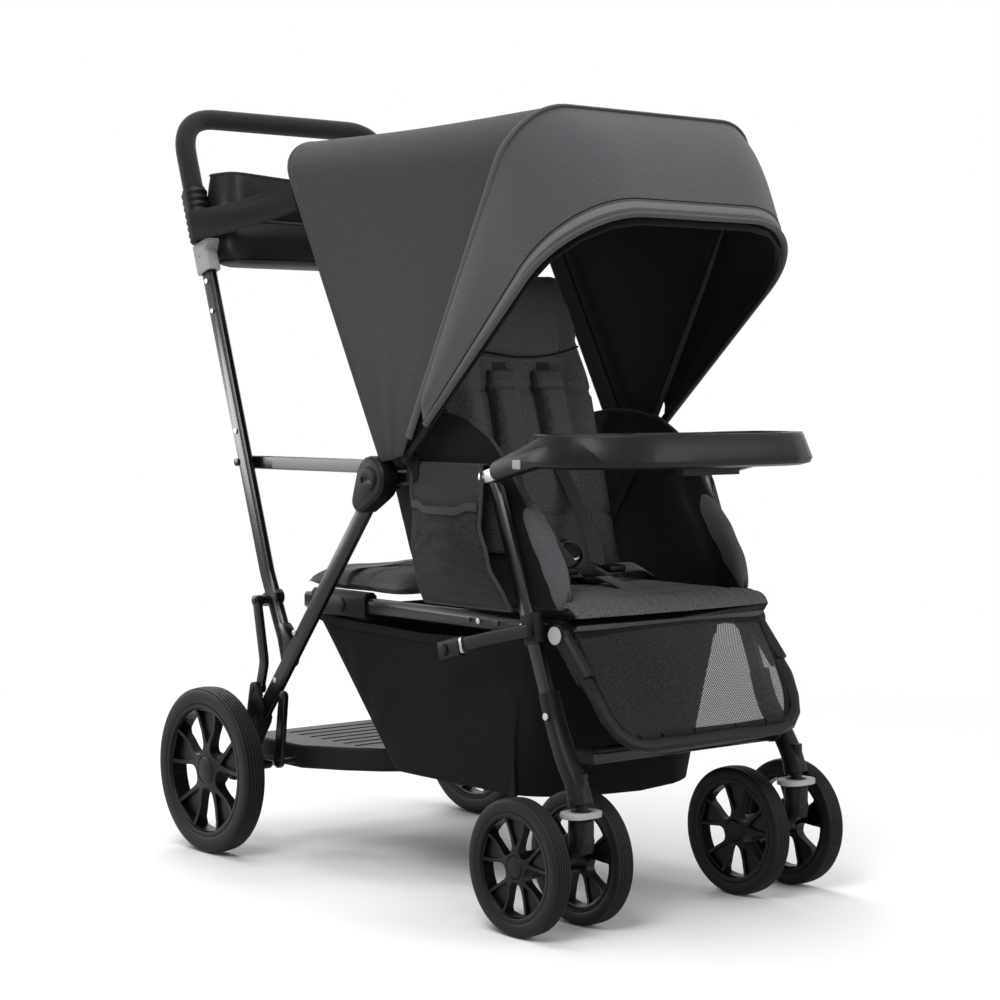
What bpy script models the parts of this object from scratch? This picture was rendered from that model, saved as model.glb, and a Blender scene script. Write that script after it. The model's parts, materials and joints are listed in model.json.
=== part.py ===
"""A sit-and-stand tandem stroller: a front seat under a canopy, a rear bench and a standing platform.

The front of the stroller faces -Y, +X is the seated child's left and +Z is up. Points written as pairs
are (y, z) in the side plane, measured from the ground under the middle of the frame. The front leg, the
rear leg and the handle tube lie in planes side by side, so that they pass each other as the frame folds.
"""

import math

import bmesh
import bpy
from mathutils import Matrix, Vector

# Fits
GAP = 0.0004
RUNNING = 0.0005

# Wheels and casters
REAR_WHEEL_RADIUS = 0.122
REAR_TYRE_WIDTH = 0.034
REAR_TYRE_DEPTH = 0.024
REAR_WHEEL_OUT = 0.270
REAR_AXLE_Y = 0.318
REAR_AXLE_RADIUS = 0.0065
FRONT_WHEEL_RADIUS = 0.087
FRONT_TYRE_WIDTH = 0.0264
FRONT_TYRE_DEPTH = 0.017
FRONT_AXLE_Y = -0.380
FRONT_AXLE_RADIUS = 0.005
CASTER_X = 0.193
CASTER_TRAIL = 0.058
TWIN_OFFSET = 0.052
STEM_RADIUS = 0.008
SPOKES = 5
REAR_STEPS = 28
FRONT_STEPS = 22

# Frame planes, across the width
RAIL_X = 0.156
RAIL_WIDTH = 0.016
LINK_X = 0.175
LINK_WIDTH = 0.006
TUBE_X = 0.189
TUBE_WIDTH = 0.015
REAR_LEG_X = 0.2075
REAR_LEG_WIDTH = 0.015

# Frame, seen from the side
HUB = Vector((-0.043, 0.561))
HUB_RADIUS = 0.031
HUB_PIN_RADIUS = 0.006
ARM_BEND = Vector((-0.262, 0.572))
ARM_BEND_RADIUS = 0.032
LEG_DEPTH = 0.021
REAR_LEG_DEPTH = 0.025
HOUSING_TOP = 0.292
HOUSING_BOTTOM = 0.166
HOUSING_RADIUS = 0.0205
CROSSBAR = Vector((-0.420, 0.222))
RIVET_RADIUS = 0.0035
LINK_FRONT = Vector((0.000, 0.575))
LINK_REAR = Vector((0.331, 0.574))
LINK_DEPTH = 0.019
HANDLE_BEND = Vector((0.262, 0.412))
HANDLE_TAIL = Vector((0.2038, 0.292))
HANDLE_SLOPE = 0.345
HANDLE_DEPTH = 0.025
GRIP_TOP_Z = 1.099
HANDLE_TOP = GRIP_TOP_Z - 0.159
GRIP_CORNER = 0.075
GRIP_RADIUS = 0.0155
GRIP_TUBE_RADIUS = 0.011
GRIP_START = HANDLE_TOP + 0.038
BRACE_TOP = Vector((0.262, 0.373))
BRACE_KINK = Vector((0.244, 0.284))
BRACE_FOOT = Vector((0.255, 0.2456))
BRACE_DEPTH = 0.015
TRIGGER_Z = HANDLE_TOP - 0.060
TRIGGER_LENGTH = 0.045

# Seat
RAIL_Z = 0.376
RAIL_DEPTH = 0.024
RAIL_REAR = 0.204
SLEEVE_LENGTH = 0.130
SLEEVE_DEPTH = 0.039
SLEEVE_WALL = 0.0035
FOOTREST_AHEAD = 0.038
SEAT_HALF = 0.160
SEAT_FRONT = -0.445
SEAT_BACK_Y = -0.1520
SEAT_THICK = 0.030
BACK_HINGE = Vector((-0.146, 0.406))
BACK_LEAN = math.radians(14)
BACK_LENGTH = 0.450
BACK_HALF = 0.142
BACK_THICK = 0.034
BENCH_HALF = 0.158
BENCH_FRONT = -0.010
BENCH_REAR = 0.212
BENCH_THICK = 0.026

# Platform, basket and tray
PLATFORM_HALF = 0.178
PLATFORM_ABOVE_AXLE = 0.043
PLATFORM_DEPTH = 0.034
PLATFORM_REAR = 0.345
PLATFORM_SIDE_FRONT = 0.196
PLATFORM_NOSE = 0.050
BASKET_HALF = 0.160
BASKET_TOP = 0.3580
BASKET_BOTTOM = 0.118
BASKET_WALL = 0.003
TRAY_BOTTOM = 0.583
TRAY_TOP = 0.626
TRAY_HALF = 0.220
TRAY_NOSE = -0.503
TRAY_PIVOT = Vector((-0.295, 0.579))

# Canopy
CANOPY_PIVOT = Vector((-0.104, 0.590))
CANOPY_EASE = 0.0015
CANOPY_CLOTH = 0.003
CANOPY_CORNER = 0.075
FRONT_BOW_CORNER = 0.115
BOW_WIDTH = 0.010
BOW_THICK = 0.004
REAR_BOW_TIP = Vector((0.128, 1.018))
MIDDLE_BOW_TIP = Vector((-0.340, 1.030))
FRONT_BOW_TIP = Vector((-0.440, 0.892))

# Parent organizer
BAG_HALF = 0.1758
BAG_BOTTOM = GRIP_TOP_Z - 0.231
BAG_TOP = GRIP_TOP_Z - 0.097
BAG_FRONT = HANDLE_BEND.x + (BAG_BOTTOM - HANDLE_BEND.y) * HANDLE_SLOPE - 0.0763
BAG_REAR = BAG_FRONT + 0.109
BAG_WALL = 0.004

AXIS_X = Vector((1, 0, 0))
SIDES = {"left": 1, "right": -1}


# Small geometry helpers


def at(x, point):
    """The 3-D point at width x over a side-plane pair."""
    return Vector((x, point[0], point[1]))


def on_line(start, end, z):
    """The point of a side-plane line at height z."""
    return start + (end - start) * ((z - start.y) / (end.y - start.y))


def turned(point, degrees):
    """A side-plane direction turned from +Y towards +Z."""
    a = math.radians(degrees)
    return Vector(
        (point.x * math.cos(a) - point.y * math.sin(a), point.x * math.sin(a) + point.y * math.cos(a))
    )


def rounded_box(width, depth, radius, steps=1):
    """The outline of a rectangle with round corners, centred."""
    points = []
    for corner, (sx, sy) in enumerate(((1, 1), (-1, 1), (-1, -1), (1, -1))):
        for step in range(steps + 1):
            a = math.radians(90 * (corner + step / steps))
            x = sx * (width / 2 - radius) + radius * math.cos(a)
            points.append((x, sy * (depth / 2 - radius) + radius * math.sin(a)))
    return points


def offset_line(line, distance):
    """The line of pairs moved to its left by a distance."""
    moved_line = []
    for i, point in enumerate(line):
        before, after = Vector(line[max(i - 1, 0)]), Vector(line[min(i + 1, len(line) - 1)])
        along = (after - before).normalized()
        moved_line.append((point[0] - along.y * distance, point[1] + along.x * distance))
    return moved_line


def ellipse(width, depth, steps):
    turn = 2 * math.pi / steps
    return [(width / 2 * math.cos(turn * i), depth / 2 * math.sin(turn * i)) for i in range(steps)]


def filleted(points, radius, steps=4):
    """A route with its inner corners rounded by arcs."""
    route = [points[0]]
    for before, corner, after in zip(points, points[1:], points[2:]):
        into = (corner - before).normalized()
        out = (after - corner).normalized()
        half = into.angle(out) / 2
        if half < 1e-4:
            continue
        reach = radius * math.tan(half)
        centre = corner + (out - into).normalized() * (radius / math.cos(half))
        first = corner - into * reach - centre
        last = corner + out * reach - centre
        for step in range(steps + 1):
            t = step / steps
            spread = math.sin(2 * half)
            a = math.sin((1 - t) * 2 * half) / spread
            b = math.sin(t * 2 * half) / spread
            route.append(centre + first * a + last * b)
    route.append(points[-1])
    return route


def bridge(bm, rings, closed=False):
    """Faces between equal rings of points, capped at both ends unless the rings close on themselves."""
    loops = [[bm.verts.new(point) for point in ring] for ring in rings]
    pairs = list(zip(loops, loops[1:]))
    if closed:
        pairs.append((loops[-1], loops[0]))
    for near, far in pairs:
        for i in range(len(near)):
            j = (i + 1) % len(near)
            bm.faces.new((near[i], near[j], far[j], far[i]))
    if not closed:
        bm.faces.new(list(reversed(loops[0])))
        bm.faces.new(loops[-1])
    bmesh.ops.recalc_face_normals(bm, faces=bm.faces)
    if bm.calc_volume(signed=True) < 0:
        bmesh.ops.reverse_faces(bm, faces=bm.faces)
    return bm


def sweep(route, profile, side=AXIS_X, scales=None):
    """A bar of one cross-section along a route, with the profile's first direction kept near side."""
    rings = []
    for i, point in enumerate(route):
        before = route[max(i - 1, 0)]
        after = route[min(i + 1, len(route) - 1)]
        along = (after - before).normalized()
        u = (side - along * side.dot(along)).normalized()
        v = along.cross(u)
        size = scales[i] if scales else 1
        rings.append([point + u * (a * size) + v * (b * size) for a, b in profile])
    return bridge(bmesh.new(), rings)


def plate(outline, low, high):
    """A side-plane outline made thick from x = low to x = high."""
    return bridge(bmesh.new(), [[at(x, point) for point in outline] for x in (low, high)])


def slab(outline, low, high):
    """A plan outline of (x, y) pairs made thick from z = low to z = high."""
    return bridge(bmesh.new(), [[Vector((x, y, z)) for x, y in outline] for z in (low, high)])


def facets(radius):
    """How many sides a small round piece needs."""
    return 8 if radius < 0.0055 else 10 if radius < 0.010 else 12


def rod(start, end, radius, steps=0, end_radius=None):
    """A round bar, or a cone, between two points."""
    along = (end - start).normalized()
    side = Vector((0, 0, 1)) if abs(along.z) < 0.9 else AXIS_X
    scale = 1 if end_radius is None else end_radius / radius
    return sweep([start, end], ellipse(2 * radius, 2 * radius, steps or facets(radius)), side, [1, scale])


def cross_pin(point, low, high, radius, steps=0):
    """A round pin along X through a side-plane point."""
    return rod(at(low, point), at(high, point), radius, steps)


def hull_outline(circles, steps=10):
    """The side-plane outline round circles given as (y, z, radius)."""
    bm = bmesh.new()
    for y, z, radius in circles:
        for i in range(steps):
            a = 2 * math.pi * i / steps
            bm.verts.new((y + radius * math.cos(a), z + radius * math.sin(a), 0))
    points = sorted({(round(v.co.x, 6), round(v.co.y, 6)) for v in bm.verts})
    bm.free()

    def half(ordered):
        chain = []
        for p in ordered:
            while len(chain) > 1:
                (ay, az), (by, bz) = chain[-2:]
                if (by - ay) * (p[1] - az) - (bz - az) * (p[0] - ay) > 1e-9:
                    break
                chain.pop()
            chain.append(p)
        return chain[:-1]

    return half(points) + half(points[::-1])


def revolve(profile, steps):
    """Turn a line of (radius, x) points about X. It starts and ends on the axis, or closes on itself."""
    bm = bmesh.new()
    loops = []
    for radius, x in profile:
        angles = [2 * math.pi * i / steps for i in range(steps)] if radius else [0]
        loops.append([bm.verts.new((x, radius * math.cos(a), radius * math.sin(a))) for a in angles])
    pairs = list(zip(loops, loops[1:]))
    if profile[0][0]:
        pairs.append((loops[-1], loops[0]))
    for near, far in pairs:
        for i in range(steps):
            j = (i + 1) % steps
            corners = [near[i % len(near)], near[j % len(near)], far[j % len(far)], far[i % len(far)]]
            bm.faces.new(list(dict.fromkeys(corners)))
    bmesh.ops.recalc_face_normals(bm, faces=bm.faces)
    return bm


def moved(bm, offset):
    bmesh.ops.translate(bm, verts=bm.verts, vec=offset)
    return bm


def chamfered(bm, width, sharper_than=35):
    """Every edge sharper than an angle gets a narrow flat."""
    edges = [e for e in bm.edges if e.is_manifold and e.calc_face_angle() > math.radians(sharper_than)]
    bmesh.ops.bevel(bm, geom=edges, offset=width, segments=1, profile=0.5, affect="EDGES", material=-1)
    return bm


def helper_object(bm):
    mesh = bpy.data.meshes.new("helper")
    bm.to_mesh(mesh)
    bm.free()
    helper = bpy.data.objects.new("helper", mesh)
    bpy.context.scene.collection.objects.link(helper)
    return helper


def combined(base, tools, operation):
    """The exact Boolean of closed meshes, one tool after the other."""
    body = helper_object(base)
    helpers = [helper_object(tool) for tool in tools]
    for helper in helpers:
        modifier = body.modifiers.new("combine", "BOOLEAN")
        modifier.operation = operation
        modifier.solver = "EXACT"
        modifier.object = helper
    bpy.context.view_layer.update()
    graph = bpy.context.evaluated_depsgraph_get()
    result = bmesh.new()
    result.from_mesh(body.evaluated_get(graph).to_mesh())
    for obj in [body] + helpers:
        mesh = obj.data
        bpy.data.objects.remove(obj)
        bpy.data.meshes.remove(mesh)
    return result


def fused(base, *tools):
    return combined(base, tools, "UNION")


def cut(base, *tools):
    return combined(base, tools, "DIFFERENCE")


# Materials


def material(name, colour, roughness, metallic=0.0):
    made = bpy.data.materials.new(name)
    made.use_nodes = True
    shader = made.node_tree.nodes["Principled BSDF"]
    shader.inputs["Base Color"].default_value = (*colour, 1)
    shader.inputs["Roughness"].default_value = roughness
    shader.inputs["Metallic"].default_value = metallic
    return made


def make_materials():
    return {
        "frame": material("frame", (0.012, 0.012, 0.013), 0.34, 0.6),
        "steel": material("steel", (0.55, 0.55, 0.56), 0.3, 1.0),
        "moulding": material("moulding", (0.015, 0.015, 0.016), 0.45),
        "grey moulding": material("grey moulding", (0.36, 0.36, 0.36), 0.45),
        "tyre": material("tyre", (0.012, 0.012, 0.012), 0.7),
        "foam": material("foam", (0.017, 0.017, 0.018), 0.9),
        "canopy cloth": material("canopy cloth", (0.07, 0.071, 0.074), 0.85),
        "visor cloth": material("visor cloth", (0.13, 0.13, 0.138), 0.85),
        "seat cloth": material("seat cloth", (0.04, 0.041, 0.043), 0.95),
        "black cloth": material("black cloth", (0.01, 0.01, 0.011), 0.9),
    }


# Bodies and placing


class Stroller:
    """Places each solid on the empty of the body that carries it."""

    def __init__(self):
        self.materials = make_materials()
        self.bodies = {}
        self.pivots = {}

    def body(self, name, pivot=(0, 0, 0), parent=None):
        """An empty on the body's joint axis."""
        empty = bpy.data.objects.new(name + "_pivot", None)
        empty.empty_display_size = 0.03
        bpy.context.scene.collection.objects.link(empty)
        self.pivots[name] = Vector(pivot)
        if parent:
            empty.parent = self.bodies[parent]
            empty.location = self.pivots[name] - self.pivots[parent]
        else:
            empty.location = self.pivots[name]
        self.bodies[name] = empty

    def add(self, name, body, bm, finish, side=1, smooth=30):
        """A named solid, mirrored to the right where side is -1."""
        if side < 0:
            bmesh.ops.scale(bm, vec=(-1, 1, 1), verts=bm.verts)
            bmesh.ops.reverse_faces(bm, faces=bm.faces)
        moved(bm, -self.pivots[body])
        mesh = bpy.data.meshes.new(name)
        bm.to_mesh(mesh)
        bm.free()
        mesh.shade_smooth()
        mesh.set_sharp_from_angle(angle=math.radians(smooth))
        mesh.materials.clear()
        mesh.materials.append(self.materials[finish])
        obj = bpy.data.objects.new(name, mesh)
        bpy.context.scene.collection.objects.link(obj)
        obj.parent = self.bodies[body]
        return obj


# Places that several pieces share

REAR_AXLE = Vector((REAR_AXLE_Y, REAR_WHEEL_RADIUS))
FRONT_AXLE = Vector((FRONT_AXLE_Y, FRONT_WHEEL_RADIUS))
SWIVEL_Y = FRONT_AXLE_Y - CASTER_TRAIL
LEG_FOOT = Vector((SWIVEL_Y + 0.054, HOUSING_TOP - 0.032))
RAIL_PIVOT = on_line(ARM_BEND, LEG_FOOT, RAIL_Z)
FOOTREST_PIVOT = Vector((RAIL_PIVOT.x - FOOTREST_AHEAD, RAIL_Z - 0.004))
CROSSING = on_line(HUB, REAR_AXLE, RAIL_Z)
RAIL_TOP = RAIL_Z + RAIL_DEPTH / 2
SLEEVE_REAR = CROSSING.x + SLEEVE_LENGTH * 0.56
HANDLE_UP = Vector((HANDLE_SLOPE, 1)).normalized()
HANDLE_HEAD = HANDLE_BEND + HANDLE_UP * ((HANDLE_TOP - HANDLE_BEND.y) / HANDLE_UP.y)
GRIP_TOP = HANDLE_HEAD + HANDLE_UP * ((GRIP_TOP_Z - HANDLE_TOP) / HANDLE_UP.y)
TUBE_IN = TUBE_X - TUBE_WIDTH / 2
TUBE_OUT = TUBE_X + TUBE_WIDTH / 2
LEG_IN = REAR_LEG_X - REAR_LEG_WIDTH / 2
LEG_OUT = REAR_LEG_X + REAR_LEG_WIDTH / 2
RAIL_IN = RAIL_X - RAIL_WIDTH / 2
RAIL_OUT = RAIL_X + RAIL_WIDTH / 2


# Wheels


def teardrop(inner, outer, half_angle, corner):
    """The outline of an opening between two spokes, pointing at the axle, in (y, z) on the +Y side."""
    points = []
    for share in (-0.8, 0.0, 0.8):
        a = half_angle * share
        points.append((outer * math.cos(a), outer * math.sin(a)))
    shoulder = (outer - corner) * math.cos(half_angle), (outer - corner) * math.sin(half_angle)
    points.append(shoulder)
    points.append((inner, inner * 0.2))
    points.append((inner, -inner * 0.2))
    points.append((shoulder[0], -shoulder[1]))
    return points


def spoke_pocket(inner, outer, half_angle):
    """The three-cornered hole where a spoke splits in two, as (y, z) on the +Y spoke."""
    arc = [half_angle * share for share in (-1, 0, 1)]
    return [(inner, 0)] + [(outer * math.cos(a), outer * math.sin(a)) for a in arc]


def spoke_cutters(rim_inner, hub_radius, reach):
    """The openings that leave five spokes, each forking into two ribs at the rim."""
    cutters = []
    share = 360 / SPOKES
    for spoke in range(SPOKES):
        opening = teardrop(hub_radius * 1.55, rim_inner, math.radians(share * 0.27), rim_inner * 0.16)
        pocket = spoke_pocket(
            hub_radius + (rim_inner - hub_radius) * 0.48, rim_inner, math.radians(share * 0.115)
        )
        for outline, degrees in ((opening, share * (spoke + 0.5)), (pocket, share * spoke)):
            spun = [turned(Vector(point), degrees + 90) for point in outline]
            cutters.append(plate(spun, -reach, reach))
    return cutters


def tyre_profile(radius, depth, width, grooves):
    """A crowned tread with round shoulders and V grooves, from one bead over the tread to the other."""
    half = width / 2
    points = [
        (radius - depth, half * 0.86), (radius - depth * 0.6, half), (radius - depth * 0.14, half * 0.84)
    ]
    if not grooves:
        points[-1:] = [(radius, half * 0.62)]
    for groove in range(grooves):
        x = half * 0.9 * (0.5 - (groove + 0.5) / grooves)
        for side, drop in ((0.0011, 0), (0, 0.0018), (-0.0011, 0)):
            points.append((radius - drop, x + side))
    tail = [(r, -x) for r, x in reversed(points[:3])]
    return points + tail


def hub_profile(cap_x, inner_x, cap_radius, bore):
    """The outer cap down to a bore that is open inboard, as two lists: outer side and inner side."""
    outer = [(0, cap_x), (cap_radius * 0.90, cap_x - 0.0008)]
    inner = [(cap_radius * 1.05, inner_x), (bore, inner_x), (bore, cap_x - 0.006), (0, cap_x - 0.006)]
    return outer, inner


def rear_rim():
    """A deep rim on five forked spokes with a round hub cap."""
    bead = REAR_WHEEL_RADIUS - REAR_TYRE_DEPTH - GAP
    lip = REAR_TYRE_WIDTH / 2 * 0.86
    centre = REAR_WHEEL_OUT - REAR_TYRE_WIDTH / 2
    hub = 0.0215
    outer, inner = hub_profile(0.0165, -0.016, hub, REAR_AXLE_RADIUS + RUNNING)
    outline = outer + [(hub * 1.06, 0.0085), (bead - 0.016, 0.0045), (bead - 0.009, lip - 0.002)]
    outline += [(bead, lip), (bead, -lip), (bead - 0.007, -lip + 0.002), (bead - 0.013, -0.0045)]
    outline += [(hub * 1.06, -0.0065)] + inner
    wheel = cut(revolve(outline, REAR_STEPS), *spoke_cutters(bead - 0.0165, hub, 0.03))
    return moved(wheel, at(centre, REAR_AXLE))


def rear_tyre():
    tyre = revolve(tyre_profile(REAR_WHEEL_RADIUS, REAR_TYRE_DEPTH, REAR_TYRE_WIDTH, 3), REAR_STEPS)
    return moved(tyre, at(REAR_WHEEL_OUT - REAR_TYRE_WIDTH / 2, REAR_AXLE))


def front_wheel(centre, outward):
    """A small wheel with its tyre moulded on. The hub cap faces outward from the caster."""
    bead = FRONT_WHEEL_RADIUS - FRONT_TYRE_DEPTH
    hub = 0.0135
    reach = TWIN_OFFSET - 0.0125
    outer, inner = hub_profile(0.0125, -reach, hub, FRONT_AXLE_RADIUS + RUNNING)
    outline = outer + [(hub * 1.08, 0.006), (bead - 0.009, 0.0035)]
    outline += tyre_profile(FRONT_WHEEL_RADIUS, FRONT_TYRE_DEPTH, FRONT_TYRE_WIDTH, 0)
    outline += [(bead - 0.009, -0.0035), (hub * 1.08, -0.006)] + inner
    wheel = cut(revolve(outline, FRONT_STEPS), *spoke_cutters(bead - 0.0095, hub, 0.02))
    if outward < 0:
        bmesh.ops.scale(wheel, vec=(-1, 1, 1), verts=wheel.verts)
        bmesh.ops.reverse_faces(wheel, faces=wheel.faces)
    return moved(wheel, at(centre, FRONT_AXLE))


def build_wheels(stroller):
    for side, sign in SIDES.items():
        axle = at(0, REAR_AXLE)
        stroller.body("rear_wheel_" + side, axle, "rear_frame")
        stroller.add("rear_rim_" + side, "rear_wheel_" + side, rear_rim(), "moulding", sign)
        stroller.add("rear_tyre_" + side, "rear_wheel_" + side, rear_tyre(), "tyre", sign)
        for place, outward in (("outer", 1), ("inner", -1)):
            name = f"front_wheel_{side}_{place}"
            stroller.body(name, at(0, FRONT_AXLE), "caster_" + side)
            wheel = front_wheel(CASTER_X + outward * TWIN_OFFSET, outward)
            stroller.add(name, name, wheel, "tyre", sign)


# Casters


def caster_housing():
    """The moulding that joins the leaning leg to the upright caster stem."""
    lean = (on_line(ARM_BEND, LEG_FOOT, HOUSING_TOP) - LEG_FOOT).normalized()
    top = LEG_FOOT + lean * 0.032
    knee = LEG_FOOT - lean * 0.022
    stations = [
        (top, lean, 0.90),
        (LEG_FOOT, lean, 0.98),
        (knee, (lean + Vector((0, 1))).normalized(), 1.04),
        (Vector((SWIVEL_Y, HOUSING_BOTTOM + 0.022)), Vector((0, 1)), 1.06),
        (Vector((SWIVEL_Y, HOUSING_BOTTOM)), Vector((0, 1)), 1.0),
    ]
    rings = []
    for centre, up, scale in stations:
        ahead = Vector((up.y, -up.x))
        points = ellipse(2 * HOUSING_RADIUS * scale * 0.94, 2 * HOUSING_RADIUS * scale, 14)
        rings.append([at(CASTER_X + a, centre + ahead * b) for a, b in points])
    shell = bridge(bmesh.new(), rings)
    stem_axis = Vector((CASTER_X, SWIVEL_Y, 0))
    neck = rod(
        stem_axis + Vector((0, 0, HOUSING_BOTTOM + 0.01)), stem_axis + Vector((0, 0, 0.1495)), 0.0125, 12
    )
    boss = cross_pin(CROSSBAR, CASTER_X, RAIL_OUT + 0.0078, 0.0135, 12)
    spigot = cross_pin(CROSSBAR, CASTER_X, RAIL_OUT - 0.014, 0.0065)
    ahead = Vector((lean.y, -lean.x)) * -1
    screw_boss = rod(
        at(CASTER_X, LEG_FOOT + lean * 0.016),
        at(CASTER_X, LEG_FOOT + lean * 0.016 + ahead * 0.024),
        0.0075,
    )
    body = fused(shell, neck, boss, spigot, screw_boss)
    leg = sweep(
        [at(TUBE_X, LEG_FOOT - lean * GAP), at(TUBE_X, LEG_FOOT + lean * 0.05)],
        rounded_box(TUBE_WIDTH + 2 * GAP, LEG_DEPTH + 2 * GAP, 0.004),
    )
    bore = rod(
        stem_axis + Vector((0, 0, 0.14)),
        stem_axis + Vector((0, 0, 0.206 + GAP)),
        STEM_RADIUS + RUNNING,
        12,
    )
    return cut(body, leg, bore)


def swivel_lock():
    """The collar under the housing, lifted to free the caster."""
    outline = [(CASTER_X + x, SWIVEL_Y + y) for x, y in rounded_box(0.056, 0.040, 0.0185, 3)]
    collar = slab(outline, 0.1515, 0.1590)
    hole = rod(
        Vector((CASTER_X, SWIVEL_Y, 0.14)), Vector((CASTER_X, SWIVEL_Y, 0.17)), 0.0125 + 2 * RUNNING, 12
    )
    return cut(chamfered(collar, 0.0012, 60), hole)


def caster_fork():
    """The arm between the twin wheels, with its stem and axle."""
    stem_axis = Vector((CASTER_X, SWIVEL_Y, 0))
    outline = hull_outline([(SWIVEL_Y, 0.122, 0.0165), (FRONT_AXLE.x, FRONT_AXLE.y, 0.0170)])
    arm = chamfered(plate(outline, CASTER_X - 0.011, CASTER_X + 0.011), 0.003, 60)
    crown = rod(stem_axis + Vector((0, 0, 0.108)), stem_axis + Vector((0, 0, 0.1485)), 0.0165, 12)
    stem = rod(stem_axis + Vector((0, 0, 0.12)), stem_axis + Vector((0, 0, 0.206)), STEM_RADIUS)
    axle = cross_pin(
        FRONT_AXLE, CASTER_X - TWIN_OFFSET - 0.006, CASTER_X + TWIN_OFFSET + 0.006, FRONT_AXLE_RADIUS
    )
    collar = cross_pin(FRONT_AXLE, CASTER_X - 0.0125 + GAP, CASTER_X + 0.0125 - GAP, 0.0105)
    return fused(arm, crown, stem, axle, collar)


def build_casters(stroller):
    for side, sign in SIDES.items():
        stem = Vector((sign * CASTER_X, SWIVEL_Y, 0))
        stroller.add("caster_housing_" + side, "front_frame", caster_housing(), "moulding", sign)
        stroller.body("swivel_lock_" + side, stem, "front_frame")
        stroller.add("swivel_lock_" + side, "swivel_lock_" + side, swivel_lock(), "grey moulding", sign)
        stroller.body("caster_" + side, stem, "front_frame")
        stroller.add("caster_fork_" + side, "caster_" + side, caster_fork(), "moulding", sign)


# Front frame


def front_leg():
    """The armrest tube and the leg, one bent tube, with the hub pin's eye and the pin for the seat rail."""
    route = filleted([at(TUBE_X, HUB), at(TUBE_X, ARM_BEND), at(TUBE_X, LEG_FOOT)], ARM_BEND_RADIUS)
    tube = sweep(route, rounded_box(TUBE_WIDTH, LEG_DEPTH, 0.004))
    eye = cross_pin(HUB, TUBE_IN - 0.0003, TUBE_OUT + 0.0003, 0.0155, 14)
    pin = cross_pin(RAIL_PIVOT, TUBE_X, RAIL_IN - GAP - 0.002, 0.005)
    head = cross_pin(RAIL_PIVOT, RAIL_IN - GAP, RAIL_IN - GAP - 0.002, 0.009)
    rivet = cross_pin(RAIL_PIVOT, TUBE_X, TUBE_OUT + 0.0015, 0.0055)
    bore = cross_pin(HUB, TUBE_IN - 0.01, TUBE_OUT + 0.01, HUB_PIN_RADIUS + RUNNING)
    return cut(fused(tube, eye, pin, head, rivet), bore)


def front_crossbar():
    """The tube between the caster housings, under the footrest."""
    end = RAIL_OUT + 0.0074
    tube = sweep([at(-end, CROSSBAR), at(end, CROSSBAR)], ellipse(0.022, 0.017, 14), Vector((0, 0, 1)))
    bores = [cross_pin(CROSSBAR, s * (RAIL_OUT - 0.0145), s * (end + 0.01), 0.0065 + GAP) for s in (1, -1)]
    return cut(tube, *bores)


def tray_bracket():
    """The plate on the armrest's corner that carries the tray's pivot pin."""
    corner = ARM_BEND + Vector((0.012, -0.004))
    outline = hull_outline([(corner.x, corner.y, 0.008), (TRAY_PIVOT.x, TRAY_PIVOT.y, 0.009)], 14)
    body = plate(outline, TUBE_OUT + GAP, TUBE_OUT + GAP + 0.0024)
    pin = cross_pin(TRAY_PIVOT, TUBE_OUT + 0.001, TUBE_OUT + 0.0112, RIVET_RADIUS)
    screw = cross_pin(corner, TUBE_OUT + 0.001, TUBE_OUT + 0.0042, 0.0042)
    return fused(body, pin, screw)


def side_panel():
    """The seat's side wing draped over the armrest, with the pocket bag on its outer side."""
    inner, outer, cloth = TUBE_IN - 0.0042, TUBE_OUT + 0.0008, 0.0022
    top = ARM_BEND.y + LEG_DEPTH / 2 + 0.0006
    bulge = [(0.0, 0.562), (0.010, 0.530), (0.017, 0.480), (0.015, 0.430), (0.004, 0.402)]
    rear, front = CANOPY_PIVOT.x - 0.022, RAIL_PIVOT.x + 0.005
    rings = []
    for y, fullness in ((rear, 0.35), (rear - 0.06, 1.0), (rear - 0.13, 0.9), (front, 0.35)):
        line = [
            (inner, 0.402),
            (inner, 0.480),
            (inner, top - 0.003),
            (inner + 0.003, top),
            (outer - 0.002, top),
        ]
        line += [(outer, top - 0.004)] + [(outer + fullness * dx, z) for dx, z in bulge]
        rings.append([Vector((x, y, z)) for x, z in line + offset_line(line, cloth)[::-1]])
    edge = [
        (-0.236, 0.60),
        (-0.244, 0.53),
        (-0.276, 0.46),
        (-0.318, 0.41),
        (-0.33, 0.39),
        (-0.40, 0.39),
        (-0.40, 0.60),
    ]
    return cut(bridge(bmesh.new(), rings), plate(edge, 0.15, 0.25))


def build_front_frame(stroller):
    stroller.body("front_frame")
    for side, sign in SIDES.items():
        stroller.add("front_leg_" + side, "front_frame", front_leg(), "frame", sign)
        stroller.add("tray_bracket_" + side, "front_frame", tray_bracket(), "steel", sign)
        stroller.add("side_panel_" + side, "front_frame", side_panel(), "seat cloth", sign)
    stroller.add("front_crossbar", "front_frame", front_crossbar(), "frame")


# Rear frame


def rear_leg():
    along = (REAR_AXLE - HUB).normalized()
    start, end = HUB + along * 0.006, REAR_AXLE - along * 0.020
    return sweep(
        [at(REAR_LEG_X, start), at(REAR_LEG_X, end)], rounded_box(REAR_LEG_WIDTH, REAR_LEG_DEPTH, 0.004)
    )


def rear_leg_socket(start, end):
    """A rear leg's own section with a clearance, to cut the mouldings that it sits in."""
    section = rounded_box(REAR_LEG_WIDTH + 2 * GAP, REAR_LEG_DEPTH + 2 * GAP, 0.004)
    return sweep([at(REAR_LEG_X, start), at(REAR_LEG_X, end)], section)


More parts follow.
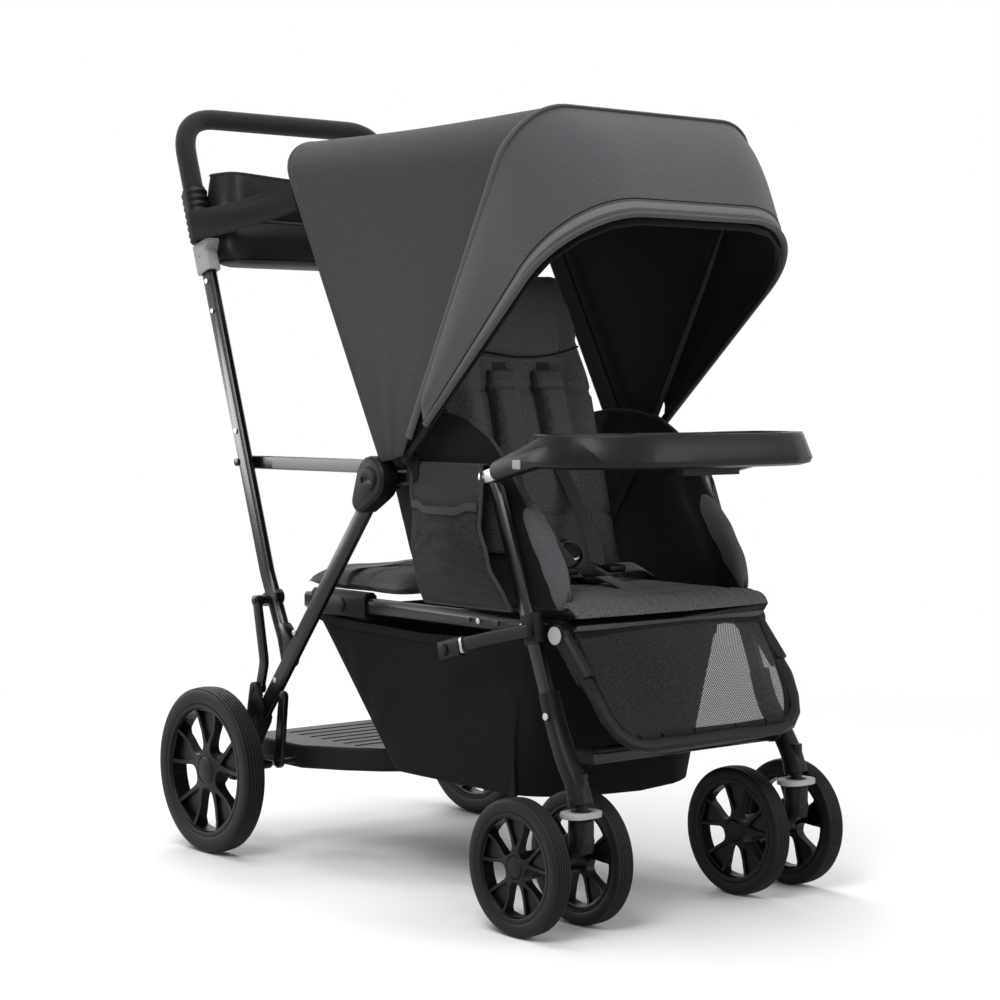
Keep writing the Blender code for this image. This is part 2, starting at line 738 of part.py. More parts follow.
def hub_housing():
    """The fold hub: a moulding over the rear leg's top, its pin and an inboard ear for the side link."""
    along = (REAR_AXLE - HUB).normalized()
    foot = HUB + along * 0.040
    outline = hull_outline([(HUB.x, HUB.y, HUB_RADIUS), (foot.x, foot.y, 0.0165)], 16)
    shell = chamfered(plate(outline, TUBE_OUT + 0.0015, LEG_OUT + 0.014), 0.004, 60)
    lobe = chamfered(cross_pin(HUB, LEG_OUT, LEG_OUT + 0.017, 0.017, 12), 0.002, 60)
    ear_x = LINK_X - LINK_WIDTH / 2 - GAP
    pin = cross_pin(HUB, ear_x - 0.005, LEG_OUT, HUB_PIN_RADIUS)
    ear = plate(
        hull_outline([(HUB.x, HUB.y, 0.011), (LINK_FRONT.x, LINK_FRONT.y, 0.009)]), ear_x - 0.005, ear_x
    )
    rivet = cross_pin(LINK_FRONT, ear_x - 0.002, LINK_X + LINK_WIDTH / 2 + 0.0015, RIVET_RADIUS)
    head = cross_pin(LINK_FRONT, LINK_X + LINK_WIDTH / 2 + GAP, LINK_X + LINK_WIDTH / 2 + 0.0020, 0.006)
    button = rounded_box(0.022, 0.007, 0.003, 2)
    slot = plate(
        [HUB + Vector((0.004 + a, -0.002 + b)) for a, b in button], LEG_OUT + 0.0145, LEG_OUT + 0.03
    )
    body = fused(shell, lobe, pin, ear, rivet, head)
    return cut(body, rear_leg_socket(HUB + along * (0.006 - GAP), HUB + along * 0.09), slot)


def axle_bracket():
    """The moulding at the rear leg's foot: axle boss, leg socket and the outer lug for the brace."""
    along = (REAR_AXLE - HUB).normalized()
    head = REAR_AXLE - along * 0.105
    inner, outer = TUBE_OUT + 0.0015, LEG_OUT + 0.0040
    outline = hull_outline([(REAR_AXLE.x, REAR_AXLE.y, 0.0205), (head.x, head.y, 0.0158)])
    shell = chamfered(plate(outline, inner, outer), 0.002, 60)
    lug_x = REAR_LEG_X + 0.0052 + GAP
    lug_low = on_line(HUB, REAR_AXLE, BRACE_FOOT.y - 0.062)
    lug_high = on_line(HUB, REAR_AXLE, BRACE_FOOT.y - 0.028)
    lug = plate(
        hull_outline(
            [
                (BRACE_FOOT.x, BRACE_FOOT.y, 0.0095),
                (lug_low.x, lug_low.y, 0.010),
                (lug_high.x, lug_high.y, 0.010),
            ]
        ),
        lug_x,
        outer + 0.0015,
    )
    rivet = cross_pin(BRACE_FOOT, LEG_IN + 0.0015, outer + 0.003, RIVET_RADIUS)
    wheel_side = REAR_WHEEL_OUT - REAR_TYRE_WIDTH / 2 - 0.016 - GAP
    boss = rod(at(REAR_LEG_X, REAR_AXLE), at(wheel_side, REAR_AXLE), 0.0185, 12, 0.0125)
    body = fused(shell, lug, rivet, boss)
    bore = cross_pin(REAR_AXLE, inner - 0.01, wheel_side + 0.01, REAR_AXLE_RADIUS + GAP)
    return cut(body, rear_leg_socket(HUB, REAR_AXLE - along * (0.020 - GAP)), bore)


def rear_axle():
    end = REAR_WHEEL_OUT - REAR_TYRE_WIDTH / 2 + 0.008
    return cross_pin(REAR_AXLE, -end, end, REAR_AXLE_RADIUS, 14)


def platform_outline(inset=0.0, steps=10):
    """Straight at the back and sides, bowed forward in front. The corners are rounded."""
    half = PLATFORM_HALF - inset
    rear, side_front, nose = PLATFORM_REAR - inset, PLATFORM_SIDE_FRONT + inset, PLATFORM_NOSE + inset
    points = [(-half + 0.02, rear), (-half + 0.006, rear - 0.005), (-half, rear - 0.02)]
    for step in range(steps + 1):
        x = half * (step / steps * 2 - 1)
        bow = 1 - abs(x / half) ** 2.4
        points.append((x, side_front + (nose - side_front) * bow))
    points += [(half, rear - 0.02), (half - 0.006, rear - 0.005), (half - 0.02, rear)]
    return points


def platform():
    """The standing board: a ribbed deck with a turned-down wall, lugs for its links, saddles on the axle."""
    top = REAR_AXLE.y + PLATFORM_ABOVE_AXLE
    body = chamfered(slab(platform_outline(), top - PLATFORM_DEPTH, top), 0.003, 60)
    under = slab(platform_outline(0.006), top - PLATFORM_DEPTH - 0.01, top - 0.007)
    ribs = []
    for x in (-0.10, 0.0, 0.10):
        strip = [(x - 0.002, 0.10), (x + 0.002, 0.10), (x + 0.002, 0.342), (x - 0.002, 0.342)]
        ribs.append(slab(strip, top - 0.026, top - 0.004))
    saddles = []
    for x in (-0.135, 0.135):
        outline = [
            (0.296, top - 0.004),
            (0.340, top - 0.004),
            (0.333, REAR_AXLE.y - 0.002),
            (0.303, REAR_AXLE.y - 0.002),
        ]
        saddles.append(plate(outline, x - 0.006, x + 0.006))
    lug = Vector((PLATFORM_SIDE_FRONT - 0.001, top - 0.023))
    lugs = []
    for sign in (1, -1):
        pin = lug + Vector((0.012, 0))
        lugs.append(
            cross_pin(pin, sign * (PLATFORM_HALF - 0.004), sign * (REAR_LEG_X - 0.0042), 0.0045)
        )
    treads = []
    for row in range(7):
        y = 0.135 + row * 0.028
        treads.append(
            slab([(-0.12, y), (0.12, y), (0.12, y + 0.009), (-0.12, y + 0.009)], top - 0.0012, top + 0.01)
        )
    shell = cut(body, under)
    full = fused(shell, *ribs, *saddles, *lugs)
    bore = cross_pin(REAR_AXLE, -0.15, 0.15, REAR_AXLE_RADIUS + GAP, 14)
    return cut(full, bore, *treads)


def platform_link():
    """The strap that hangs the platform's front corner from the rear leg."""
    top = REAR_AXLE.y + PLATFORM_ABOVE_AXLE
    lug = Vector((PLATFORM_SIDE_FRONT + 0.011, top - 0.023))
    along = (REAR_AXLE - HUB).normalized()
    head = on_line(HUB, REAR_AXLE, 0.252) + Vector((-along.y, along.x)) * -(REAR_LEG_DEPTH / 2 + 0.0085)
    low, high = REAR_LEG_X - 0.0035, REAR_LEG_X + 0.0035
    strap = plate(hull_outline([(head.x, head.y, 0.008), (lug.x, lug.y, 0.009)]), low, high)
    hole = cross_pin(lug, low - 0.01, high + 0.01, 0.0045 + GAP)
    bolt = cross_pin(head, high - 0.001, high + 0.002, 0.005)
    return cut(fused(strap, bolt), hole)


def brake_pedal():
    """The foot bar behind the axle that sets the parking brake."""
    inner, outer = 0.150, 0.174
    eye = (REAR_AXLE.x, REAR_AXLE.y - 0.0005, 0.0088)
    toe = (REAR_AXLE.x + 0.058, REAR_AXLE.y - 0.004, 0.006)
    arm = plate(hull_outline([eye, toe]), inner, outer)
    outline = [(REAR_AXLE.x + 0.046, REAR_AXLE.y - 0.012), (REAR_AXLE.x + 0.085, REAR_AXLE.y - 0.006)]
    outline += [(REAR_AXLE.x + 0.085, REAR_AXLE.y - 0.001), (REAR_AXLE.x + 0.046, REAR_AXLE.y + 0.001)]
    pad = chamfered(plate(outline, inner - 0.018, outer + 0.006), 0.0015, 60)
    bore = cross_pin(REAR_AXLE, inner - 0.01, outer + 0.01, REAR_AXLE_RADIUS + RUNNING, 14)
    return cut(fused(arm, pad), bore)


def build_rear_frame(stroller):
    stroller.body("rear_frame", at(0, HUB), "front_frame")
    for side, sign in SIDES.items():
        stroller.add("rear_leg_" + side, "rear_frame", rear_leg(), "frame", sign)
        stroller.add("hub_housing_" + side, "rear_frame", hub_housing(), "moulding", sign)
        stroller.add("axle_bracket_" + side, "rear_frame", axle_bracket(), "moulding", sign)
        stroller.add("platform_link_" + side, "rear_frame", platform_link(), "frame", sign)
    stroller.add("rear_axle", "rear_frame", rear_axle(), "steel")
    stroller.add("platform", "rear_frame", platform(), "moulding")
    stroller.body("brake_pedal", at(0, REAR_AXLE), "rear_frame")
    stroller.add("brake_pedal", "brake_pedal", brake_pedal(), "moulding", SIDES["right"])


# Folding links and handle


def side_link():
    """The flat bar from the hub ear to the handle tube, with an eye at each end."""
    low, high = LINK_X - LINK_WIDTH / 2, LINK_X + LINK_WIDTH / 2
    bar = sweep(
        [at(LINK_X, LINK_FRONT), at(LINK_X, LINK_REAR)], rounded_box(LINK_WIDTH - 0.0006, LINK_DEPTH, 0.0015)
    )
    eyes = [cross_pin(point, low, high, LINK_DEPTH / 2 + 0.0012, 12) for point in (LINK_FRONT, LINK_REAR)]
    holes = [cross_pin(p, low - 0.01, high + 0.01, RIVET_RADIUS + RUNNING) for p in (LINK_FRONT, LINK_REAR)]
    return cut(fused(bar, *eyes), *holes)


def handle_tube():
    """The rear upright: a bent tube with a latch plate at its tail, the side link's rivet and two screws."""
    route = filleted([at(TUBE_X, HANDLE_TAIL), at(TUBE_X, HANDLE_BEND), at(TUBE_X, HANDLE_HEAD)], 0.10)
    tube = sweep(route, rounded_box(TUBE_WIDTH, HANDLE_DEPTH, 0.004))
    tail = HANDLE_TAIL
    latch = plate(
        hull_outline(
            [
                (tail.x, tail.y, 0.0130),
                (tail.x + 0.014, tail.y + 0.040, 0.011),
                (tail.x - 0.005, tail.y + 0.022, 0.010),
            ]
        ),
        TUBE_IN + 0.0004,
        TUBE_OUT + 0.0009,
    )
    studs = [
        cross_pin(tail + Vector(p), TUBE_X, TUBE_OUT + 0.0012, 0.0032, 8)
        for p in ((0.000, 0.022), (0.008, 0.002))
    ]
    shoulder = plate(
        hull_outline(
            [(BRACE_TOP.x, BRACE_TOP.y, 0.0095), (BRACE_TOP.x - 0.022, BRACE_TOP.y + 0.006, 0.012)]
        ),
        TUBE_IN + 0.0004,
        TUBE_OUT - 0.0004,
    )
    pin = cross_pin(LINK_REAR, TUBE_X, LINK_X - LINK_WIDTH / 2 - GAP - 0.0015, RIVET_RADIUS)
    head = cross_pin(LINK_REAR, LINK_X - LINK_WIDTH / 2 - GAP, LINK_X - LINK_WIDTH / 2 - GAP - 0.002, 0.006)
    cap = cross_pin(LINK_REAR, TUBE_X, TUBE_OUT + 0.0018, 0.006)
    rear_face = Vector((HANDLE_UP.y, -HANDLE_UP.x)) * (HANDLE_DEPTH / 2)
    screws = []
    for z in (0.74, 0.81):
        centre = on_line(HANDLE_BEND, HANDLE_HEAD, z)
        screws.append(rod(at(TUBE_X, centre), at(TUBE_X, centre + rear_face * 1.16), 0.0035, 8))
    socket = rod(
        at(TUBE_X, HANDLE_HEAD - HANDLE_UP * 0.020),
        at(TUBE_X, HANDLE_HEAD + HANDLE_UP * 0.01),
        0.0055 + GAP,
    )
    body = fused(tube, latch, shoulder, pin, head, cap, *studs, *screws)
    return cut(body, socket)


def grip_route(start_z, steps):
    """The U of the handlebar, in the leaning plane of the handle tubes, from one upright to the other."""
    foot = HANDLE_HEAD + HANDLE_UP * ((start_z - HANDLE_HEAD.y) / HANDLE_UP.y)
    corners = [at(-TUBE_X, foot), at(-TUBE_X, GRIP_TOP), at(TUBE_X, GRIP_TOP), at(TUBE_X, foot)]
    return filleted(corners, GRIP_CORNER, steps)


def handlebar():
    """The round tube inside the foam grip, with spigots in the handle tubes."""
    normal = Vector((0, HANDLE_UP.y, -HANDLE_UP.x))
    route = grip_route(HANDLE_TOP + GAP, 5)
    tube = sweep(route, ellipse(2 * GRIP_TUBE_RADIUS, 2 * GRIP_TUBE_RADIUS, 8), normal)
    spigots = []
    for sign in (1, -1):
        start = at(sign * TUBE_X, HANDLE_HEAD - HANDLE_UP * (0.020 - GAP))
        spigots.append(rod(start, at(sign * TUBE_X, HANDLE_HEAD + HANDLE_UP * 0.01), 0.0055))
    return fused(tube, *spigots)


def handle_grip():
    """The foam sleeve over the handlebar."""
    normal = Vector((0, HANDLE_UP.y, -HANDLE_UP.x))
    rings = []
    for radius, start in ((GRIP_RADIUS, GRIP_START), (GRIP_TUBE_RADIUS + GAP, GRIP_START)):
        route = grip_route(start, 5)
        shape = []
        for i, point in enumerate(route):
            along = (route[min(i + 1, len(route) - 1)] - route[max(i - 1, 0)]).normalized()
            u = (normal - along * normal.dot(along)).normalized()
            v = along.cross(u)
            shape.append([point + u * a + v * b for a, b in ellipse(2 * radius, 2 * radius, 8)])
        rings.append(shape)
    return bridge(bmesh.new(), rings[0] + rings[1][::-1], closed=True)


def fold_trigger():
    """The sleeve that slides up the handle tube to release the fold, with its finger flange in front."""
    centre = on_line(HANDLE_BEND, HANDLE_HEAD, TRIGGER_Z)
    low, high = centre - HANDLE_UP * TRIGGER_LENGTH / 2, centre + HANDLE_UP * TRIGGER_LENGTH / 2
    block = sweep(
        [at(TUBE_X, low), at(TUBE_X, high)], rounded_box(TUBE_WIDTH + 0.010, HANDLE_DEPTH + 0.009, 0.004)
    )
    ahead = Vector((-HANDLE_UP.y, HANDLE_UP.x))
    root = high + ahead * (HANDLE_DEPTH / 2)
    lip = [ahead * 0.016 - HANDLE_UP * 0.001, ahead * 0.016 - HANDLE_UP * 0.005, HANDLE_UP * -0.018]
    flange = plate([root] + [root + step for step in lip], TUBE_X - 0.012, TUBE_X + 0.012)
    section = rounded_box(TUBE_WIDTH + 2 * RUNNING, HANDLE_DEPTH + 2 * RUNNING, 0.004)
    bore = sweep([at(TUBE_X, low - HANDLE_UP * 0.02), at(TUBE_X, high + HANDLE_UP * 0.02)], section)
    peep = cross_pin(centre + HANDLE_UP * 0.002, TUBE_OUT - 0.002, TUBE_OUT + 0.02, 0.002, 8)
    return cut(fused(block, flange), bore, peep)


def brace():
    """The dog-leg link from the axle bracket up to the handle tube, which its upper boss meets."""
    low = REAR_LEG_X - 0.005
    high = REAR_LEG_X + 0.005
    route = [at(REAR_LEG_X, p) for p in (BRACE_TOP, BRACE_KINK, BRACE_FOOT)]
    bar = sweep(filleted(route, 0.03, 3), rounded_box(high - low - 0.0004, BRACE_DEPTH, 0.002))
    eyes = [cross_pin(point, low, high, BRACE_DEPTH / 2 + 0.0008, 12) for point in (BRACE_TOP, BRACE_FOOT)]
    boss = cross_pin(BRACE_TOP, TUBE_OUT + GAP, high, 0.006)
    head = cross_pin(BRACE_TOP, high - 0.001, high + 0.002, 0.005)
    hole = cross_pin(BRACE_FOOT, low - 0.01, high + 0.01, RIVET_RADIUS + RUNNING)
    return cut(fused(bar, *eyes, boss, head), hole)


def parent_organizer():
    """The parent's bag between the handle tubes: an open box that leans with them, with a lower pocket."""
    def ring(z, inset, sag=0.0):
        lean = (z - BAG_BOTTOM) * HANDLE_SLOPE * 0.35
        width = BAG_HALF - inset
        front, rear = BAG_FRONT + inset + lean, BAG_REAR - inset + lean
        outline = rounded_box(2 * width, rear - front, 0.028 - inset * 0.5, 3)
        middle = (front + rear) / 2
        return [Vector((x, middle + y, z - sag * (1 - (x / width) ** 2))) for x, y in outline]

    outer = [ring(BAG_BOTTOM, 0.012), ring(BAG_BOTTOM + 0.010, 0.002), ring(BAG_BOTTOM + 0.05, 0.0)]
    outer += [ring(BAG_TOP - 0.04, 0.002), ring(BAG_TOP, 0.006, 0.012)]
    inner = [
        ring(BAG_TOP, 0.006 + BAG_WALL, 0.012),
        ring(BAG_BOTTOM + 0.05, BAG_WALL + 0.001),
        ring(BAG_BOTTOM + 0.006, BAG_WALL + 0.012),
    ]
    return bridge(bmesh.new(), outer + inner)


def build_handle(stroller):
    stroller.body("side_links", at(0, LINK_FRONT), "rear_frame")
    stroller.body("handle", at(0, LINK_REAR), "side_links")
    stroller.body("braces", at(0, BRACE_FOOT), "rear_frame")
    for side, sign in SIDES.items():
        stroller.add("side_link_" + side, "side_links", side_link(), "frame", sign)
        stroller.add("handle_tube_" + side, "handle", handle_tube(), "frame", sign)
        stroller.add("brace_" + side, "braces", brace(), "frame", sign)
        stroller.body(
            "fold_trigger_" + side,
            at(sign * TUBE_X, on_line(HANDLE_BEND, HANDLE_HEAD, TRIGGER_Z)),
            "handle",
        )
        stroller.add("fold_trigger_" + side, "fold_trigger_" + side, fold_trigger(), "grey moulding", sign)
    stroller.add("handlebar", "handle", handlebar(), "frame")
    stroller.add("handle_grip", "handle", handle_grip(), "foam")
    stroller.add("parent_organizer", "handle", parent_organizer(), "black cloth")


# Seat


def seat_rail():
    """The flat tube that carries the seats, pivoting on the front leg, the footrest's pin at its nose."""
    nose = FOOTREST_PIVOT
    bar = sweep([at(RAIL_X, Vector((RAIL_REAR, RAIL_Z))), at(RAIL_X, Vector((nose.x + 0.006, RAIL_Z)))],
                rounded_box(RAIL_WIDTH, RAIL_DEPTH, 0.004))
    end = cross_pin(nose, RAIL_IN + 0.0004, RAIL_OUT - 0.0004, 0.0145, 12)
    pin = cross_pin(nose, RAIL_X, RAIL_OUT + 0.0145, 0.0045)
    bore = cross_pin(RAIL_PIVOT, RAIL_IN - 0.01, RAIL_OUT + 0.01, 0.005 + RUNNING)
    rivets = [
        cross_pin(Vector((y, RAIL_Z)), RAIL_X, RAIL_OUT + 0.0016, RIVET_RADIUS, 8)
        for y in (-0.18, -0.24, -0.29)
    ]
    return cut(fused(bar, end, pin, *rivets), bore)


def rail_sleeve():
    """The slider on the rail that is pinned to the rear leg and runs forward as the frame folds."""
    front = SLEEVE_REAR - SLEEVE_LENGTH
    centre = Vector((0, RAIL_Z))
    block = sweep([at(RAIL_X, centre + Vector((front, 0))), at(RAIL_X, centre + Vector((SLEEVE_REAR, 0)))],
                  rounded_box(RAIL_WIDTH + 2 * SLEEVE_WALL, SLEEVE_DEPTH, 0.005))
    waist = [Vector((front + t * SLEEVE_LENGTH, RAIL_Z - SLEEVE_DEPTH / 2 + d)) for t, d in
             ((0.12, -0.01), (0.22, 0.003), (0.78, 0.003), (0.88, -0.01))]
    through = [at(RAIL_X, centre + Vector((y, 0))) for y in (front - 0.02, SLEEVE_REAR + 0.02)]
    bore = sweep(through, rounded_box(RAIL_WIDTH + 2 * RUNNING, RAIL_DEPTH + 2 * RUNNING, 0.004))
    boss = cross_pin(CROSSING, RAIL_OUT + SLEEVE_WALL * 0.5, RAIL_OUT + SLEEVE_WALL + 0.0016, 0.011, 12)
    return cut(
        fused(chamfered(block, 0.0012, 60), boss), bore, plate(waist, RAIL_IN - 0.02, RAIL_OUT + 0.02)
    )


def cushion(columns, rows, place):
    """A closed pad from a grid: place(u, v, top) gives a point of its upper or lower face."""
    bm = bmesh.new()
    faces = {}
    for top in (True, False):
        faces[top] = [
            [bm.verts.new(place(i / columns, j / rows, top)) for i in range(columns + 1)]
            for j in range(rows + 1)
        ]
        for j in range(rows):
            for i in range(columns):
                grid = faces[top]
                bm.faces.new((grid[j][i], grid[j][i + 1], grid[j + 1][i + 1], grid[j + 1][i]))

    def rim(grid):
        edge = [grid[0][i] for i in range(columns)] + [grid[j][columns] for j in range(rows)]
        edge += [grid[rows][i] for i in range(columns, 0, -1)] + [grid[j][0] for j in range(rows, 0, -1)]
        return edge

    upper, lower = rim(faces[True]), rim(faces[False])
    for i in range(len(upper)):
        j = (i + 1) % len(upper)
        bm.faces.new((upper[i], upper[j], lower[j], lower[i]))
    bmesh.ops.recalc_face_normals(bm, faces=bm.faces)
    return bm


def crown(u, power=4):
    """1 in the middle of a pad and 0 at its edge."""
    return 1 - abs(2 * u - 1) ** power


def drawn_in(u, v, amount):
    """How far a pad's side is pulled in, most at the middle of the side."""
    return 1 - amount * (1 - (2 * v - 1) ** 2) * abs(2 * u - 1)


def seat_pad():
    """The front seat's pad: it lies on the rails, has sewn channels and rolls over at its front edge."""
    length = SEAT_BACK_Y - SEAT_FRONT

    def place(u, v, top):
        side = abs(2 * u - 1)
        half = (SEAT_HALF + 0.012 * v ** 3) * drawn_in(u, v, 0.03) * (1 - 0.05 * max(0.0, v - 0.9) / 0.1)
        y = SEAT_BACK_Y - v * length + 0.018 * side ** 4 * max(0.0, (v - 0.5) / 0.5) ** 2
        roll = max(0.0, (v - 0.78) / 0.22)
        base = RAIL_TOP + GAP - 0.016 * roll ** 2 * crown(u, 8)
        if not top:
            return Vector(((2 * u - 1) * half * 0.985, y + roll * 0.012, base))
        channel = 0.0035 * max(0.0, math.cos(2 * math.pi * (v * 5 + 0.5))) ** 4
        puff = SEAT_THICK * (0.55 + 0.45 * crown(u) * crown(0.5 + v / 2, 6)) - channel
        return Vector(((2 * u - 1) * half, y, RAIL_TOP + GAP + puff - 0.010 * roll ** 2))

    return cushion(8, 16, place)


def bench_pad():
    """The rear bench's pad over the rail sleeves."""
    base = RAIL_Z + SLEEVE_DEPTH / 2 + GAP

    def place(u, v, top):
        y = BENCH_FRONT + v * (BENCH_REAR - BENCH_FRONT) * drawn_in(v, u, 0.02)
        half = BENCH_HALF * drawn_in(u, v, 0.03)
        if not top:
            return Vector(((2 * u - 1) * half * 0.98, y, base))
        puff = BENCH_THICK * (0.4 + 0.6 * crown(u) * crown(v))
        return Vector(((2 * u - 1) * half, y, base + puff))

    return cushion(10, 6, place)


def seat_back():
    """The front seat's back: narrower at its head, with a headrest roll, a hollow and side bolsters."""
    lean = Vector((math.sin(BACK_LEAN), math.cos(BACK_LEAN)))
    ahead = Vector((-lean.y, lean.x))

    def place(u, v, top):
        half = BACK_HALF * (1 - 0.22 * max(0.0, v - 0.62) / 0.38) * drawn_in(u, v, 0.02)
        round_top = 0.030 * (1 - crown(u, 3)) * v ** 8
        along = BACK_HINGE + lean * (v * BACK_LENGTH - round_top)
        if not top:
            return at((2 * u - 1) * half * 0.97, along - ahead * (BACK_THICK * 0.5))
        head = 0.010 * math.exp(-((v - 0.86) / 0.10) ** 2) * crown(u, 2)
        bolster = 0.012 * math.exp(-((abs(2 * u - 1) - 0.78) / 0.16) ** 2) * crown(v, 4)
        channel = 0.0035 * max(0.0, math.cos(2 * math.pi * (v * 4 + 0.08))) ** 6
        puff = BACK_THICK * 0.5 * (0.35 + 0.65 * crown(u) * crown(v, 8)) + head + bolster - channel
        return at((2 * u - 1) * half, along + ahead * puff)

    return cushion(8, 16, place)


def harness_buckle():
    """The round buckle at the crotch strap, lying on the seat pad."""
    place = Vector((0.0, -0.235, RAIL_TOP + SEAT_THICK + 3 * GAP))
    profile = [
        (0, 0), (0.016, 0), (0.018, 0.003), (0.018, 0.009), (0.0145, 0.012), (0.0135, 0.0105), (0, 0.0105)
    ]
    disc = revolve(profile, 14)
    bmesh.ops.rotate(disc, verts=disc.verts, matrix=Matrix.Rotation(math.radians(-90), 3, "Y"))
    tongue = rounded_box(0.026, 0.05, 0.006, 2)
    strap = slab([(x, y) for x, y in tongue], 0.002, 0.0065)
    return moved(fused(disc, strap), place)


def footrest():
    """A flattened U tube on two moulded brackets, hung from the seat rails' noses."""
    x = RAIL_OUT + 0.0085
    pivot = FOOTREST_PIVOT
    low = pivot + Vector((-0.100, -0.133))
    corners = [
        at(x, pivot + Vector((-0.014, -0.016))),
        at(x, pivot + Vector((-0.062, -0.070))),
        at(x - 0.012, low),
        at(-x + 0.012, low),
    ]
    corners += [at(-x, pivot + Vector((-0.062, -0.070))), at(-x, pivot + Vector((-0.014, -0.016)))]
    corners[2].z = corners[3].z = low.y
    route = filleted(corners, 0.05, 3)
    tube = sweep(route, ellipse(0.0135, 0.020, 8), Vector((0, 0.80, -0.60)))
    pieces = []
    for sign in (1, -1):
        pieces.append(cross_pin(pivot, sign * (x - 0.0080 + GAP), sign * (x + 0.0085), 0.0150, 14))
        along = Vector((-0.062, -0.070)).normalized()
        arm = sweep(
            [at(sign * x, pivot), at(sign * x, pivot + along * 0.072)],
            rounded_box(0.0165 - GAP, 0.026, 0.004),
        )
        pieces.append(arm)
        pieces.append(cross_pin(pivot, sign * x, sign * (x + 0.0105), 0.0110, 12))
    bores = [
        cross_pin(pivot, sign * (x - 0.03), sign * (RAIL_OUT + 0.0145 + GAP), 0.0045 + RUNNING)
        for sign in (1, -1)
    ]
    return cut(fused(tube, *pieces), *bores)


def footrest_mesh():
    """The net pocket inside the footrest's U, from the seat's front edge down to the bar."""
    pivot = FOOTREST_PIVOT
    top = pivot + Vector((-0.008, -0.020))
    low = pivot + Vector((-0.089, -0.124))
    along = low - top
    normal = Vector((along.y, -along.x)).normalized()

    def place(u, v, upper):
        half = RAIL_OUT + 0.0001 - 0.010 * v - 0.024 * v ** 6
        centre = top + along * v
        belly = 0.030 * crown(u, 2) * crown(v, 2)
        return at((2 * u - 1) * half, centre + normal * (belly + (0.0012 if upper else -0.0012)))

    return cushion(8, 6, place)


def build_seat(stroller):
    stroller.body("seat_frame", at(0, RAIL_PIVOT), "front_frame")
    stroller.body("rail_sleeves", at(0, CROSSING), "seat_frame")
    for side, sign in SIDES.items():
        stroller.add("seat_rail_" + side, "seat_frame", seat_rail(), "frame", sign)
        stroller.add("rail_sleeve_" + side, "rail_sleeves", rail_sleeve(), "moulding", sign)
    stroller.add("seat_pad", "seat_frame", seat_pad(), "seat cloth", smooth=60)
    stroller.add("bench_pad", "seat_frame", bench_pad(), "seat cloth", smooth=60)
    stroller.add("harness_buckle", "seat_frame", harness_buckle(), "moulding")
    stroller.body("seat_back", at(0, BACK_HINGE), "seat_frame")
    stroller.add("seat_back", "seat_back", seat_back(), "seat cloth", smooth=60)
    stroller.body("footrest", at(0, FOOTREST_PIVOT), "seat_frame")
    stroller.add("footrest", "footrest", footrest(), "frame")
    stroller.add("footrest_mesh", "footrest", footrest_mesh(), "black cloth", smooth=60)


# Basket and tray


def basket():
    """The cloth basket under the seat, open at the top. Its front bows round the casters' swing."""
    def ring(z, front, rear, half, inset, bow, sag=0.0):
        points = [(-half + inset, rear - 0.024), (-half + 0.022 + inset, rear - inset)]
        points += [(half - 0.022 - inset, rear - inset), (half - inset, rear - 0.024)]
        for step in range(9):
            side = 1 - step / 4
            points.append(((half - inset) * side, front + inset + bow * side ** 2 + 0.012 * side ** 8))
        ring_points = []
        for x, y in points:
            slack = sag * crown((y - front) / (rear - front), 2)
            ring_points.append(Vector((x, y, z - slack)))
        return ring_points

    low, top = BASKET_BOTTOM, BASKET_TOP
    outer = [
        ring(low, -0.335, -0.07, BASKET_HALF - 0.030, 0.0, 0.072, 0.006),
        ring(low + 0.014, -0.345, -0.04, BASKET_HALF - 0.016, 0.0, 0.078, 0.006),
        ring(low + 0.090, -0.352, 0.02, BASKET_HALF - 0.008, 0.0, 0.060),
        ring(top, -0.350, 0.115, BASKET_HALF, 0.0, 0.010, 0.010),
    ]
    inner = [
        ring(top, -0.350, 0.115, BASKET_HALF, BASKET_WALL, 0.010, 0.010),
        ring(low + 0.090, -0.352, 0.02, BASKET_HALF - 0.008, BASKET_WALL, 0.060),
        ring(low + 0.017, -0.345, -0.04, BASKET_HALF - 0.016, BASKET_WALL + 0.003, 0.078, 0.006),
    ]
    return bridge(bmesh.new(), outer + inner)


def tray_outline(grow):
    """The tray's plan outline: arms at the back, widest behind the middle, a broad nose, round corners."""
    half, nose, rear = TRAY_HALF + grow, TRAY_NOSE - grow, -0.352 + grow
    side = [
        (half - 0.006, rear + 0.004), (half - 0.001, rear - 0.022), (half, -0.410), (half - 0.008, -0.438)
    ]
    side += [(half - 0.034, nose + 0.032), (half - 0.062, nose + 0.011), (half - 0.092, nose + 0.002)]
    hollow = [(0.120, rear - 0.004), (0.085, rear - 0.018), (0.040, rear - 0.026)]
    left = side + [(0.05, nose)]
    return left + [(-x, y) for x, y in reversed(left)] + [(-x, y) for x, y in hollow] + [
        (x, y) for x, y in reversed(hollow)
    ]


